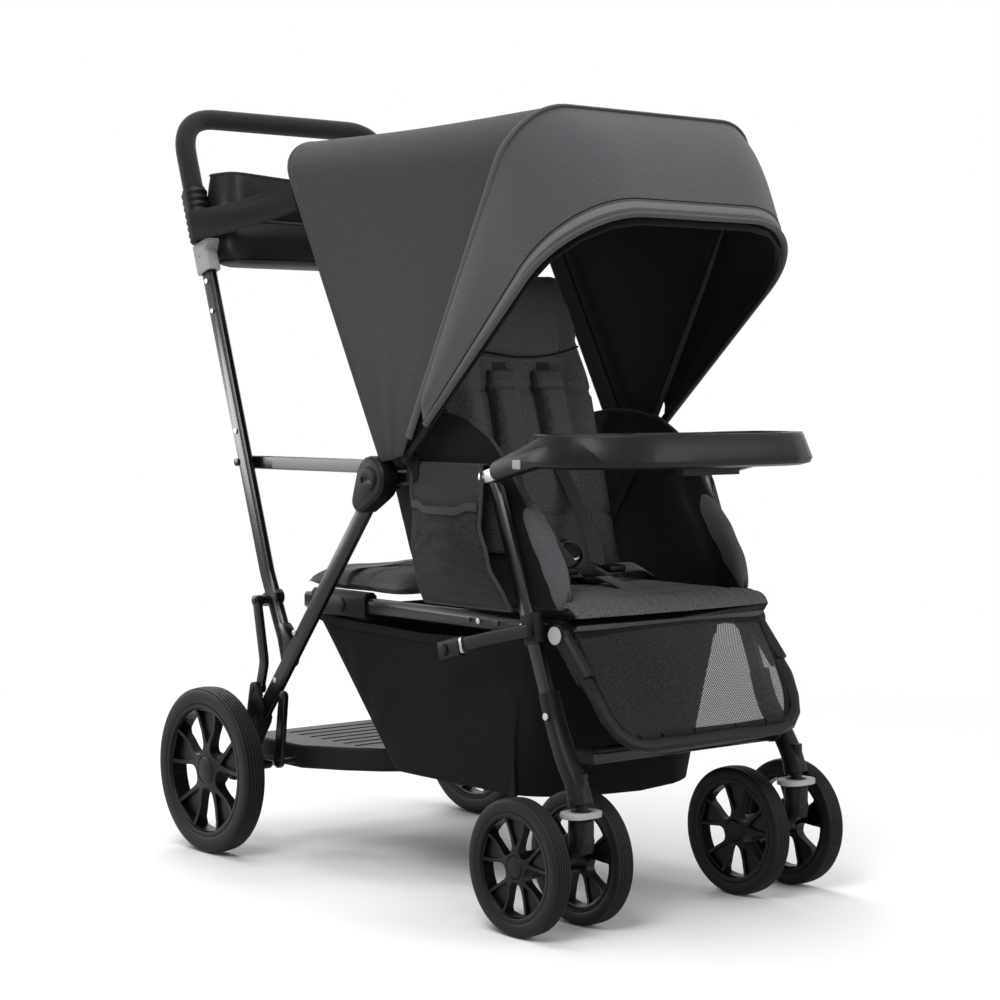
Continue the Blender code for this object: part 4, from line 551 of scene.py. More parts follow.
def settled(bm, cap, grain=6 * MM):
    """Blows a pad up a little as cloth and gives its vertices what the cloth moved, up to cap."""
    scene = bpy.context.scene
    trial = object_of("trial_pad", bm.copy())
    remesh = trial.modifiers.new("Remesh", "REMESH")
    remesh.mode, remesh.voxel_size = "VOXEL", grain
    even = bpy.data.meshes.new_from_object(evaluated(trial))
    trial.modifiers.clear()
    trial.data = even
    before = [vertex.co.copy() for vertex in even.vertices]
    puff = trial.modifiers.new("Cloth", "CLOTH")
    settings = puff.settings
    settings.quality, settings.mass = 5, 0.2
    settings.tension_stiffness = settings.compression_stiffness = 8.0
    settings.shear_stiffness, settings.bending_stiffness = 4.0, 0.3
    settings.use_pressure, settings.uniform_pressure_force = True, PUFF_PRESSURE
    settings.effector_weights.gravity = 0.0
    settings.shrink_min = -0.03
    puff.collision_settings.use_collision = False
    puff.point_cache.frame_start, puff.point_cache.frame_end = 1, PUFF_FRAMES
    for frame in range(1, PUFF_FRAMES + 1):
        scene.frame_set(frame)
    puffed = evaluated(trial).data
    moved = [vertex.co - start for vertex, start in zip(puffed.vertices, before)]
    tree = kdtree.KDTree(len(before))
    for index, start in enumerate(before):
        tree.insert(start, index)
    tree.balance()
    for vertex in bm.verts:
        near = tree.find_n(vertex.co, 4)
        shift = sum((moved[index] for _, index, _ in near), Vector()) / len(near)
        if shift.length > cap:
            shift *= cap / shift.length
        vertex.co += shift
    scene.frame_set(1)
    bpy.data.objects.remove(trial)
    return bm


def thick(depth, offset=1.0):
    return "SOLIDIFY", {"thickness": depth, "offset": offset, "use_even_offset": False}


def cut_with(base, cutters):
    """Takes the cutters out of a bmesh with the exact Boolean, and returns the result."""
    whole = bmesh.new()
    for cutter in cutters:
        mesh = bpy.data.meshes.new("part")
        cutter.to_mesh(mesh)
        cutter.free()
        whole.from_mesh(mesh)
        bpy.data.meshes.remove(mesh)
    solid, tool = object_of("helper", base), object_of("helper", whole)
    modifier = solid.modifiers.new("cut", "BOOLEAN")
    modifier.operation, modifier.solver, modifier.use_self = "DIFFERENCE", "EXACT", True
    modifier.object = tool
    bpy.context.view_layer.update()
    mesh = bpy.data.meshes.new_from_object(evaluated(solid))
    result = bmesh.new()
    result.from_mesh(mesh)
    bpy.data.objects.remove(solid)
    bpy.data.objects.remove(tool)
    bpy.data.meshes.remove(mesh)
    return result


# Wheels

SPOKES = 5
SPOKE_UP = 90
BEAD_SHARE = 0.86
LIP_SHARE = 0.46
TREAD_SHARE = 0.80
CUT_REACH = 0.05
SPOKE_BEVEL = (
    "BEVEL",
    {
        "width": 0.8 * MM,
        "segments": 2,
        "limit_method": "ANGLE",
        "angle_limit": math.radians(30),
        "harden_normals": False,
    },
)

# Each kind: the tyre's depth, its gap to the rim, the hub's and bore's radii, the pockets' depth and
# how many steps the tyre has round
REAR_WHEEL = (0.024, 0.4 * MM, 0.024, 0.007, 5.0 * MM, 128)
FRONT_WHEEL = (0.0175, 0.1 * MM, 0.0175, 0.0056, 3.6 * MM, 112)
FRONT_TYRE_WIDTH = 0.0264
REAR_HUB_INSIDE = -0.016

# Half outlines, as shares of the web's radius: how far out, and half the width there
OPENING = [
    (0.300, 0.0), (0.310, 0.065), (0.350, 0.125), (0.420, 0.165), (0.520, 0.190), (0.680, 0.225),
    (0.840, 0.275), (0.950, 0.308),
]
OPENING_END = (0.99, 0.10)
HOLLOW = [
    (0.42, 0.0), (0.50, 0.050), (0.60, 0.105), (0.70, 0.150), (0.80, 0.190), (0.90, 0.225), (0.965, 0.238),
]


def outline_plate(half, degrees, low, high):
    """The plate of a half outline, the same on both sides of its axis, turned about X."""
    points = [(p.x, p.y) for p in half] + [(p.x, -p.y) for p in reversed(half) if p.y > 1e-6]
    a = math.radians(degrees)
    bm = bmesh.new()
    turned = [(y * math.cos(a) - z * math.sin(a), y * math.sin(a) + z * math.cos(a)) for y, z in points]
    face = bm.faces.new([bm.verts.new((low, y, z)) for y, z in turned])
    made = bmesh.ops.extrude_face_region(bm, geom=[face])
    fresh = [item for item in made["geom"] if isinstance(item, bmesh.types.BMVert)]
    bmesh.ops.translate(bm, verts=fresh, vec=(high - low, 0, 0))
    bmesh.ops.recalc_face_normals(bm, faces=bm.faces)
    return bm


def wheel_opening(outer):
    """The teardrop window between two spokes: round by the hub, then nearly as wide up to the rim."""
    curve = through([Vector((r * outer, w * outer)) for r, w in OPENING], 28)
    end = Vector((OPENING_END[0] * outer, OPENING_END[1] * outer))
    return [Vector((p.x, max(0.0, p.y))) for p in curve] + [end]


def groove_profile(radius, depth, width):
    """A tyre from bead to bead: bulged wall, shoulder, a crowned tread with round grooves."""
    half = width / 2
    wall = [
        (radius - depth * down, half * share)
        for down, share in (
            (1, BEAD_SHARE), (0.97, BEAD_SHARE + 0.05), (0.85, 0.965), (0.62, 1), (0.36, 0.995),
            (0.20, 0.955), (0.09, 0.87),
        )
    ]
    groove_depth = bpy.context.scene.stroller.groove_depth
    tread = []
    for step in range(65):
        x = half * TREAD_SHARE * (1 - step / 32)
        fall = depth * 0.05 * (x / (half * TREAD_SHARE)) ** 2
        groove = max(bump(x, centre * half, 0.8 * MM) for centre in (-0.60, -0.30, 0.0, 0.30, 0.60))
        tread.append((radius - fall - groove_depth * groove, x))
    return wall + tread + [(r, -x) for r, x in reversed(wall)]


def wheel_rim(bead, lip, inner_x, hub, bore, pocket):
    """The moulded wheel: a deep rim, a dished web cut into forked spokes, and a flush hub cap."""
    web_out, web_in = lip * 0.50, -lip * 0.42
    cap = web_out * 1.45
    profile = [
        (0.0, cap), (hub * 0.72, cap - 0.0003), (hub * 0.80, cap - 0.0012), (hub * 0.84, cap - 0.0022),
        (hub * 0.90, cap - 0.0012), (hub * 1.05, web_out * 1.22), (hub * 1.6, web_out * 0.98),
        (bead * 0.60, web_out * 0.80), (bead * 0.80, web_out * 1.02), (bead - 0.0075, lip - 0.0045),
        (bead - 0.0058, lip - 0.0008), (bead - 0.0040, lip), (bead, lip), (bead, -lip), (bead - 0.0040, -lip),
        (bead - 0.0055, -lip + 0.003), (bead * 0.80, web_in * 1.12), (bead * 0.55, web_in),
        (hub * 1.25, web_in * 1.25), (hub * 1.04, web_in * 1.6), (hub * 1.02, inner_x), (bore, inner_x),
        (bore, web_in * 0.5), (0.0, web_in * 0.5),
    ]
    outer = bead - 0.0072
    opening, hollow = wheel_opening(outer), [Vector((r * outer, w * outer)) for r, w in HOLLOW]
    cutters = []
    for spoke in range(SPOKES):
        turn = 360 / SPOKES * spoke + SPOKE_UP
        cutters.append(outline_plate(opening, turn + 180 / SPOKES, -CUT_REACH, CUT_REACH))
        cutters.append(outline_plate(hollow, turn, web_out * 0.9 - pocket, CUT_REACH))
        cutters.append(outline_plate(hollow, turn, -CUT_REACH, web_in + pocket * 0.5))
    return cut_with(revolved(profile, 120, (0, 0, 0)), cutters)


def wheel(names, replaced, body, centre, width, inner_x, faces_left, kind):
    """A tyre and a rim of one kind. The names and what they replace are the tyre's, then the rim's."""
    radius = centre.z
    depth, gap, hub, bore, pocket, turns = kind
    tyre = revolved(groove_profile(radius, depth, width), turns, centre)
    piece(names[0], tyre, "tyre", body, replaced[0], 60)
    rim = wheel_rim(radius - depth - gap, width * LIP_SHARE, inner_x, hub, bore, pocket)
    if not faces_left:
        mirrored(rim)
    bmesh.ops.translate(rim, verts=rim.verts, vec=centre)
    piece(names[1], rim, "rim", body, replaced[1], 35, [SPOKE_BEVEL])


class STROLLER_OT_wheels(bpy.types.Operator):
    """Grooved tyres on five-spoke moulded rims, in the places of the plain wheels"""

    bl_idname = "stroller.wheels"
    bl_label = "Wheels"

    def execute(self, context):
        for side, sign in SIDES.items():
            tyre, rim, body = "rear_tyre_" + side, "rear_rim_" + side, "rear_wheel_" + side
            low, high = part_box(tyre)
            centre = Vector(((low.x + high.x) / 2, REAR_AXLE.y, (high.z - low.z) / 2))
            names, width = (tyre + "_tread", rim + "_spokes"), high.x - low.x
            wheel(names, ([tyre], [rim]), body, centre, width, REAR_HUB_INSIDE, sign > 0, REAR_WHEEL)
            for place in ("outer", "inner"):
                name = f"front_wheel_{side}_{place}"
                low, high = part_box(name)
                faces_left = (place == "outer") == (sign > 0)
                half = FRONT_TYRE_WIDTH / 2
                centre = Vector((high.x - half if faces_left else low.x + half, FRONT_AXLE.y, FRONT_AXLE.z))
                names, inside = (name + "_tread", name + "_spokes"), -(high.x - low.x - half)
                wheel(names, ((), [name]), name, centre, FRONT_TYRE_WIDTH, inside, faces_left, FRONT_WHEEL)
        return {"FINISHED"}


# Canopy

CANOPY_HALF = 0.2123
ROOF_CORNER = 0.075
BRIM_CORNER = 0.118
CANOPY_CLEAR = 5.5 * MM
LINING_DROP = 2.6 * MM
ROOF_SIZE = (1.15, 0.46)
VISOR_SIZE = (1.1, 0.17)
ROOF_SAG = 0.003
ROOF_WRINKLE = 1.1 * MM
VISOR_SAG = -0.022
VISOR_WRINKLE = 0.8 * MM
TAPE_BAND = (0.925, 0.965)
TAPE_BULGE = 0.4 * MM
PIPING_SHARE = 0.905
FACING_BACK = (0, -1, 0.15)
REAR_FOOT = spot(0, -0.066, 0.573)
REAR_TIP = spot(0, 0.1815, 1.0316)
MIDDLE_TIP = spot(0, -0.340, 1.036)
BRIM_TIP = spot(0, -0.443, 0.897)

# Each line over the canopy: the foot and tip of its plane, where the cloth starts, its corner
REAR_LINE = (REAR_FOOT, REAR_TIP, 0.012, 0.058)
RIDGE_LINE = (CANOPY_PIVOT, MIDDLE_TIP, 0.004, ROOF_CORNER)
VISOR_LINE = (CANOPY_PIVOT, MIDDLE_TIP, 0.098, ROOF_CORNER)
BRIM_LINE = (CANOPY_PIVOT, BRIM_TIP, 0.068, BRIM_CORNER)


def hoop(line, share, clear=0.0):
    """A point of an inverted U over the canopy, share from 0 at one foot to 1 at the other."""
    foot, tip, start, corner = line
    up = tip - foot
    reach = up.length + clear
    up.normalize()
    half, corner = CANOPY_HALF + clear, corner + clear
    leg, top, arc = reach - corner - start, 2 * (half - corner), math.pi / 2 * corner
    along = min(share, 1 - share) * (2 * leg + 2 * arc + top)
    if along <= leg:
        x, r = half, start + along
    elif along <= leg + arc:
        a = (along - leg) / corner
        x, r = half - corner + corner * math.cos(a), start + leg + corner * math.sin(a)
    else:
        x, r = half - corner - (along - leg - arc), reach
    return Vector((-x if share > 0.5 else x, 0, 0)) + foot + up * r


def canopy_skin(start, end, clear, sag, wrinkle):
    """place(u, v) over the cloth between two lines, with its sag and its pulls."""

    def place(u, v):
        point = hoop(start, u, clear).lerp(hoop(end, u, clear), v)
        lift = clamp((point.z - CANOPY_PIVOT.z) / 0.35)
        side = 1.0 if u < 0.5 else -1.0
        span = math.sin(math.pi * clamp(v))
        top = smooth((1 - abs(u - 0.5) * 2) * 2.4 - 0.35)
        point.z -= sag * span * lift * top
        point.x -= side * sag * 0.8 * span * (1 - top) * lift
        rough = noise.noise(Vector((u * 6.0, v * 2.0, 3.1 + sag * 100)))
        fan = math.sin(v * 17 + rough * 2.0) * (1 - lift) ** 1.5 * 0.6
        outward = Vector((side * (1 - top), 0, top)).normalized()
        return point + outward * wrinkle * (rough + fan) * span

    return place


def roof_skin(rise=0.0, wrinkle=ROOF_WRINKLE):
    return canopy_skin(REAR_LINE, RIDGE_LINE, CANOPY_CLEAR + rise, ROOF_SAG, wrinkle)


def visor_skin(rise=0.0):
    return canopy_skin(VISOR_LINE, BRIM_LINE, CANOPY_CLEAR + rise, VISOR_SAG, VISOR_WRINKLE)


def bent(made):
    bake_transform(made)


def lining(name, skin, rows, size, body):
    piece(name, turned_over(surface(120, rows, skin, size)), "lining", body, (), 180)


class STROLLER_OT_canopy(bpy.types.Operator):
    """The canopy's curved cloth, its visor, brim, trim and lining"""

    bl_idname = "stroller.canopy"
    bl_label = "Canopy"

    def execute(self, context):
        cloth_depth = thick(context.scene.stroller.canopy_thickness)
        self.roof(cloth_depth)
        self.visor(cloth_depth)
        self.edges()
        return {"FINISHED"}

    @staticmethod
    def roof(cloth_depth):
        name, flat, bows = "canopy_roof_cloth", (1.17, 0.53), ["canopy_rear_bow", "canopy_middle_bow"]
        roof = surface(120, 56, roof_skin(), ROOF_SIZE)
        sheet(name, roof, "canopy", bent, bows, ["canopy_roof"], [cloth_depth])
        lining("canopy_roof_lining", roof_skin(-LINING_DROP), 40, ROOF_SIZE, bent)

    @staticmethod
    def visor(cloth_depth):
        body = "canopy_front_bow"
        name, flat, bows = "canopy_visor_cloth", (1.12, 0.20), ["canopy_middle_bow", body]
        visor = surface(120, 36, visor_skin(), VISOR_SIZE)
        sheet(name, visor, "visor", body, bows, ["canopy_visor"], [cloth_depth])
        lining("canopy_visor_lining", visor_skin(-LINING_DROP), 28, VISOR_SIZE, body)
        outer = visor_skin(1.6 * MM)

        def on_skin(u, v):
            point = outer(u, TAPE_BAND[0] + (TAPE_BAND[1] - TAPE_BAND[0]) * v)
            out = (point - CANOPY_PIVOT) * 0.35 + Vector((point.x, 0, 0))
            return point + out.normalized() * TAPE_BULGE * math.sin(math.pi * v)

        tape = surface(160, 4, on_skin, (1.1, 0.02))
        piece("canopy_reflective_tape", tape, "trim", body, (), 180)
        line = swept([outer(i / 160, PIPING_SHARE) for i in range(161)], (1.6, 1.6), 6, 160, FACING_BACK)
        piece("canopy_brim_piping", line, "black cloth", body)

    @staticmethod
    def edges():
        ridge = [hoop(RIDGE_LINE, 0.02 + 0.96 * i / 140, CANOPY_CLEAR + 0.3 * MM) for i in range(141)]
        # The ridge's sleeve wears the visor's lighter cloth, not the roof's, so that the ridge reads lighter:
        # painted light along the ridge, where the sleeve falls in shade.
        roll = swept(ridge, (13, 6), 14, 140, FACING_BACK)
        piece("canopy_bow_sleeve", roll, "visor", "canopy_middle_bow")
        rear = [hoop(REAR_LINE, i / 140, CANOPY_CLEAR + 0.4 * MM) for i in range(141)]
        piece("canopy_rear_hem", swept(rear, (9, 3.2), 12, 140, FACING_BACK), "canopy", "front_frame")
        front = [hoop(BRIM_LINE, i / 160, CANOPY_CLEAR + 0.2 * MM) for i in range(161)]
        piece("canopy_brim_roll", swept(front, (10, 7), 14, 160, FACING_BACK), "visor", "canopy_front_bow")
        skin = roof_skin(-4 * MM, 0)
        for letter, x in (("a", -0.07), ("b", 0.07)):
            seam = [skin(0.5 - x / 1.21, 0.03 + 0.94 * i / 20) for i in range(21)]
            piece("canopy_seam_tape_" + letter, swept(seam, (18, 1.2, 0.4), 8, 40), "webbing", bent)


# Handle and organizer

HANDLE_SLOPE = 0.345
HANDLE_BEND = (0.262, 0.412)
TUBE_X = 0.189
GRIP_LOW = 0.972
GRIP_TOP = 1.099
GRIP_CORNER = 0.075
CUFF_LOW = 0.905
CUFF_LENGTH = 0.080
CUFF_RIBS = 8
BAG_HALF = 0.1765
BAG_FRONT = 0.343
BAG_REAR = 0.452
BAG_LOW = 0.868
BAG_SAG = 0.010

# Up the bag, in millimetres: the height over its bottom, and how far inside its outline the cloth lies
LOWER_POUCH = [(-0.5, 22), (5, 9), (20, 0.5), (42, -3), (62, 1), (70, 5)]
UPPER_POUCH = [
    (66, 7), (72, 2), (92, -1), (116, 1), (134, 4), (139, 5.5), (139.5, 9), (132, 10.5), (100, 9), (78, 9.5),
    (72, 16),
]
UPPER_TOP = 139

# The organizer's pipings: name, height, inset and sag in millimetres
BAG_PIPING = (("low", 0.874, 6.5, 0), ("middle", 0.937, 1.6, 5), ("top", 1.0075, 5.8, 10))


def on_handle(x, z):
    """A point of the handle tube's line at a height."""
    return spot(x, HANDLE_BEND[0] + (z - HANDLE_BEND[1]) * HANDLE_SLOPE, z)


def bag_ring(u, z, inset, sag=0.0):
    """A point round the bag at a height, as a rounded box that leans with the handle."""
    across, along = squared(math.tau * u, 0.34, 0.42)
    lean = (z - BAG_LOW) * HANDLE_SLOPE * 0.35
    half, deep = BAG_HALF - inset, (BAG_REAR - BAG_FRONT) / 2 - inset
    y = (BAG_FRONT + BAG_REAR) / 2 + along * deep + lean
    return spot(across * half, y, z - sag * (1 - across**2))


def pouch(profile, rows, frequency, depth, slack_height, sag):
    """A pouch of the bag. Its slack has a frequency round the bag and a depth in millimetres."""
    line = through([Vector(row) for row in profile], rows)

    def place(u, v):
        up, inset = line[round(v * rows)]
        a = math.tau * u
        spin = Vector((math.cos(a) * frequency, math.sin(a) * frequency, slack_height(up, v)))
        inset = (inset + depth * noise.noise(spin)) * MM
        return bag_ring(u % 1.0, BAG_LOW + up * MM, inset, sag * smooth(up / UPPER_TOP))

    return place


class STROLLER_OT_handle(bpy.types.Operator):
    """The foam grip, its ribbed cuffs and the hanging organizer bag"""

    bl_idname = "stroller.handle"
    bl_label = "Handle and organizer"

    def execute(self, context):
        width = context.scene.stroller.grip_width / MM
        ends = ((-TUBE_X, GRIP_LOW), (-TUBE_X, GRIP_TOP), (TUBE_X, GRIP_TOP), (TUBE_X, GRIP_LOW))
        path = rounded([on_handle(x, z) for x, z in ends], GRIP_CORNER, 14)
        grip = swept(path, (width, width), 24, 150, (0, 1, -HANDLE_SLOPE))
        piece("grip_sleeve", grip, "foam", "handle", ["handle_grip", "handlebar"], 60)
        for side, sign in SIDES.items():
            path = [on_handle(sign * TUBE_X, CUFF_LOW + CUFF_LENGTH * i / 60) for i in range(61)]
            ribs = swept(path, (36, 38, 0.8), 24, 60, size=self.cuff_size)
            piece("grip_cuff_" + side, ribs, "moulding", "handle", (), 60)
        self.bag()
        for side, sign in SIDES.items():
            self.strap_panel(side, sign)
        return {"FINISHED"}

    @staticmethod
    def cuff_size(v):
        """Ribs along the cuff, and its rounded ends."""
        end = smooth((0.06 - min(v, 1 - v)) / 0.06)
        return 1.0 + 0.035 * math.sin(2 * math.pi * v * CUFF_RIBS) - 0.10 * end

    @staticmethod
    def bag():
        lower = pouch(LOWER_POUCH, 24, 2.2, 1.6, lambda up, v: v * 2.6, 0.0)
        low = surface(120, 24, lower, (1.0, 0.08), True)
        piece("organizer_lower_pouch", low, "bag", "handle", ["parent_organizer"], 60)
        upper = pouch(UPPER_POUCH, 40, 2.6, 1.3, lambda up, v: 7 + up * MM * 20, BAG_SAG)
        piece("organizer_upper_pouch", surface(120, 40, upper, (1.0, 0.2), True), "bag", "handle", (), 60)
        for name, z, inset, sag in BAG_PIPING:
            path = [bag_ring(i / 160, z, (inset - 0.6) * MM, sag * MM) for i in range(161)]
            pipe = swept(path, (3.4, 3.4), 8, 160, (0, 0, 1))
            piece("organizer_piping_" + name, pipe, "piping", "handle", (), 60)

    @staticmethod
    def strap_panel(side, sign):
        """The wide cloth strap that hangs the bag from the cuff and runs forward to the canopy's side."""
        rear_low, rear_top = on_handle(sign * 0.2085, 0.905), on_handle(sign * 0.2085, 0.950)
        front_low, front_top = spots(sign, ((0.2100, 0.148, 0.936), (0.2090, 0.162, 0.976)))

        def place(u, v):
            low, top = rear_low.lerp(front_low, u), rear_top.lerp(front_top, u)
            sag = 0.004 * math.sin(math.pi * u)
            fold = 0.0022 * math.sin(v * 9 + u * 4) * math.sin(math.pi * u)
            return low.lerp(top, v) + Vector((sign * fold, 0, -sag))

        panel = turned_over(surface(40, 12, place, (0.27, 0.05)), sign < 0)
        name, cuff, depth = "organizer_strap_" + side, ["grip_cuff_" + side], thick(1.6 * MM, 0)
        sheet(name, panel, "black cloth", "handle", cuff, (), [depth])


# Seat

SEAT_HALF = 0.163
SEAT_NOSE = -0.408
SEAT_HEEL = -0.1535
SEAT_LOW = 0.3886
BACK_LEAN = math.radians(14)
BACK_LENGTH = 0.452
BACK_HALF = 0.142
BACK_SEAMS = (0.22, 0.42, 0.62)
BENCH_FRONT, BENCH_REAR, BENCH_HALF, BENCH_LOW = -0.010, 0.212, 0.158, 0.404
WEBBING = (25, 1.8, 0.35)
TUFTS = 19
PAD_TAPER = 0.12
HARNESS_X = 0.040
WING_X = 0.158
WING_FOOT = 0.402
WING_SPLAY = 0.014

# How far forward the seat's side wing reaches, from its foot up to its rounded top
WING_FRONT = [
    (-0.378, 0.402), (-0.368, 0.440), (-0.338, 0.490), (-0.302, 0.535), (-0.268, 0.580), (-0.236, 0.616),
    (-0.190, 0.642),
]
STRAP_END = [(0.034, -0.205, 0.470), (0.022, -0.226, 0.444)]
LAP_BELT = [(0.150, -0.190, 0.425), (0.105, -0.215, 0.436), (0.055, -0.232, 0.437), (0.020, -0.236, 0.434)]
BENCH_BELT = [
    (0.160, 0.115, 0.404), (0.150, 0.112, 0.424), (0.100, 0.108, 0.428), (0.045, 0.103, 0.433),
    (0.016, 0.100, 0.434),
]
CROTCH_STRAP = [(0, -0.318, 0.416), (0, -0.290, 0.424), (0, -0.262, 0.430)]
BUCKLE_CENTRE = spot(0, -0.192, 0.458)
BUCKLE_FACING = Vector((0, -0.80, 0.60))


def crown(u, power=4):
    return 1 - abs(2 * u - 1) ** power


def back_point(x, along, ahead):
    """A point on the seat's back: along it from the hinge, and ahead of its middle plane."""
    up = Vector((0, math.sin(BACK_LEAN), math.cos(BACK_LEAN)))
    front = Vector((0, -math.cos(BACK_LEAN), math.sin(BACK_LEAN)))
    return BACK_HINGE + up * along + front * ahead + Vector((x, 0, 0))


def back_half(v):
    return BACK_HALF * (1 - 0.24 * smooth((v - 0.60) / 0.40)) * (1 - 0.02 * crown(v))


def back_front(x, v):
    """How far the back's padding stands ahead of its middle plane."""
    u = 0.5 + x / back_half(v) / 2
    head = 0.010 * bump(v, 0.86, 0.11) * crown(clamp(u), 2)
    bolster = 0.014 * bump(abs(2 * u - 1), 0.78, 0.17) * crown(clamp(v), 4)
    seam = 0.0050 * sum(bump(v, place, 0.010) for place in BACK_SEAMS)
    seam += 0.0040 * bump(abs(2 * u - 1), 0.55, 0.035) * crown(clamp(v), 8)
    slack = 0.0016 * noise.noise(Vector((x * 26, v * 9, 1.7)))
    return 0.017 * (0.35 + 0.65 * crown(clamp(u)) * crown(clamp(v), 8)) + head + bolster - seam + slack


def over_back(x, along, rise):
    return back_point(x, along, back_front(x, along / BACK_LENGTH) + rise)


class STROLLER_OT_seat(bpy.types.Operator):
    """The padded front seat with its headrest, wings and harness, and the rear bench"""

    bl_idname = "stroller.seat"
    bl_label = "Seats"

    def execute(self, context):
        self.cushion()
        self.back()
        for side, sign in SIDES.items():
            self.harness(side, sign)
        self.buckle()
        for side, sign in SIDES.items():
            self.wing(side, sign)
        self.bench()
        return {"FINISHED"}

    @staticmethod
    def cushion():
        def place(u, v, side):
            half = (SEAT_HALF + 0.010 * v**3) * (1 - 0.025 * crown(v, 2))
            x = (2 * u - 1) * half
            bow = 0.010 * crown(u, 2) * smooth((v - 0.7) / 0.3)
            y = SEAT_HEEL - v * (SEAT_HEEL - SEAT_NOSE) - bow
            roll = smooth((v - 0.80) / 0.05)
            seam = 0.0055 * bump(v, 0.835, 0.012) + 0.0032 * sum(bump(v, k, 0.012) for k in (0.2, 0.4, 0.6))
            nose = math.sqrt(clamp(1 - ((v - 0.915) / 0.088) ** 2)) if v > 0.915 else 1.0
            tuft = 0.0014 * math.sin(2 * math.pi * u * TUFTS) * roll * nose
            slack = 0.0016 * noise.noise(Vector((x * 24, y * 24, 0.3)))
            edge = crown(u, 6) ** 0.5
            if side > 0:
                puff = 0.014 + 0.012 * edge * crown(clamp(0.5 + v / 2 - 0.02), 6) - seam + tuft + slack
                puff = puff * (1 - roll) + roll * nose * (0.022 + tuft)
                return spot(x, y, SEAT_LOW + puff)
            return spot(x * 0.985, y, SEAT_LOW - 0.013 * roll * nose)

        cushion = settled(pillow(56, 64, place, 0.3), 4 * MM)
        pad("seat_cushion", cushion, "seat", "seat_frame", ["seat_pad"])
        row = [place(i / 60, 0.835, 1) + Vector((0, 0, 0.0034)) for i in range(61)]
        piece("seat_front_piping", swept(row, (3.4, 3.4), 8, 80), "piping", "seat_frame")

    @staticmethod
    def back():
        def place(u, v, side):
            round_top = 0.030 * (1 - crown(u, 3)) * v**8
            x = (2 * u - 1) * back_half(v)
            along = v * BACK_LENGTH - round_top
            if side < 0:
                return back_point(x * 0.97, along, -0.017)
            return back_point(x, along, back_front(x, v))

        rest = settled(pillow(64, 96, place, 0.3), 4 * MM)
        pad("seat_backrest", rest, "seat", "seat_back", ["seat_back"])

        def flap(u, v, side):
            """The headrest: a pad over the top of the back, its lower edge drawn in a curve."""
            along = BACK_LENGTH * (0.995 - v * (0.25 + 0.05 * crown(u, 2)))
            share = along / BACK_LENGTH
            x = (2 * u - 1) * (back_half(min(share, 0.93)) * 0.90)
            rise = back_front(x, min(share, 0.97))
            if side < 0:
                return back_point(x, along - 0.02 * v**6, rise - 0.003)
            puff = 0.013 * (crown(u, 6) * crown(v, 6)) ** 0.6
            return back_point(x, along, rise + puff + 0.0012 * noise.noise(Vector((x * 30, along * 30, 9))))

        pad("seat_headrest", settled(pillow(48, 36, flap, 0.2), 5 * MM), "seat", "seat_back")
        row = [flap(i / 48, 0.93, 1) + Vector((0, -0.0030, 0)) for i in range(4, 45)]
        line = swept(row, (3, 3), 8, 60)
        piece("seat_headrest_piping", line, "black cloth", "seat_back")

    @staticmethod
    def harness(side, sign):
        path = [over_back(sign * HARNESS_X, 0.318 - 0.018 * i, 0.004) for i in range(9)]
        path += [over_back(sign * 0.046, 0.13, 0.016), *spots(sign, STRAP_END)]
        strap = swept(through(path, 90), WEBBING, 12, 90)
        piece("harness_strap_" + side, strap, "webbing", "seat_back", (), 50)

        def place(u, v, face):
            middle = sign * (HARNESS_X + 0.004 * v)
            across = (2 * u - 1) * 0.026 * (1 - PAD_TAPER * (1 - crown(v, 8)))
            lift = 0.0065 if face < 0 else 0.0075 + 0.011 * (crown(u, 4) * crown(v, 10)) ** 0.5
            lift += 0.0010 * math.sin(2 * math.pi * v * 9) * (face > 0) * crown(u, 2)
            return over_back(middle, 0.305 - 0.125 * v, lift) + Vector((across, 0, 0))

        shoulder = settled(pillow(24, 40, place, 0.1), 3 * MM, 4 * MM)
        pad("shoulder_pad_" + side, shoulder, "seat", "seat_back")
        lap = swept(through(spots(sign, LAP_BELT), 40), WEBBING, 12, 40, (0, 1, 0.4))
        piece("lap_strap_" + side, lap, "webbing", "seat_frame", (), 50)
        clip = block((0.030, 0.026, 0.010), spot(sign * 0.043, -0.234, 0.438), 3 * MM)
        piece("harness_clip_" + side, clip, "moulding", "seat_frame")

    @staticmethod
    def buckle():
        crotch = swept(through(spots(1, CROTCH_STRAP), 30), (28, 2, 0.35), 12, 30)
        piece("crotch_strap", crotch, "webbing", "seat_frame", (), 50)
        for name, radius, depth, rise, steps, chamfer, finish in (
            ("round", 0.0205, 0.013, 0.0, 48, 2.5 * MM, "moulding"),
            ("boss", 0.0135, 0.004, 0.0072, 40, 1 * MM, "moulding"),
            ("ring", 0.0165, 0.003, 0.0066, 48, 1 * MM, "chrome"),
        ):
            shape = disc(radius, depth, BUCKLE_CENTRE + BUCKLE_FACING * rise, steps, chamfer, BUCKLE_FACING)
            piece("harness_buckle_" + name, shape, finish, "seat_frame")

    @staticmethod
    def wing(side, sign):
        edge = through([Vector((0, y, z)) for y, z in WING_FRONT], 60)

        def outline(u, v):
            rear = Vector((0, -0.070 + 0.075 * v, WING_FOOT + 0.232 * v))
            point = rear.lerp(edge[round(clamp(v) * 60)], u)
            return point + Vector((0, 0, 0.014 * math.sin(math.pi * u) * v**3))

        def place(u, v, face):
            point = outline(u, v)
            bulge = 0.010 * math.sin(math.pi * v) * math.sin(math.pi * u)
            bolster = 0.012 * bump(u, 0.90, 0.10) * smooth((0.75 - v) / 0.3)
            half = (0.0022 + 0.0030 * crown(u, 6) * crown(v, 6)) + bolster * 0.5
            x = WING_X + WING_SPLAY * v + bulge - bolster * 0.5 + face * half
            slack = 0.0015 * noise.noise(Vector((point.y * 22, point.z * 22, 5)))
            return spot(sign * (x + slack), point.y, point.z)

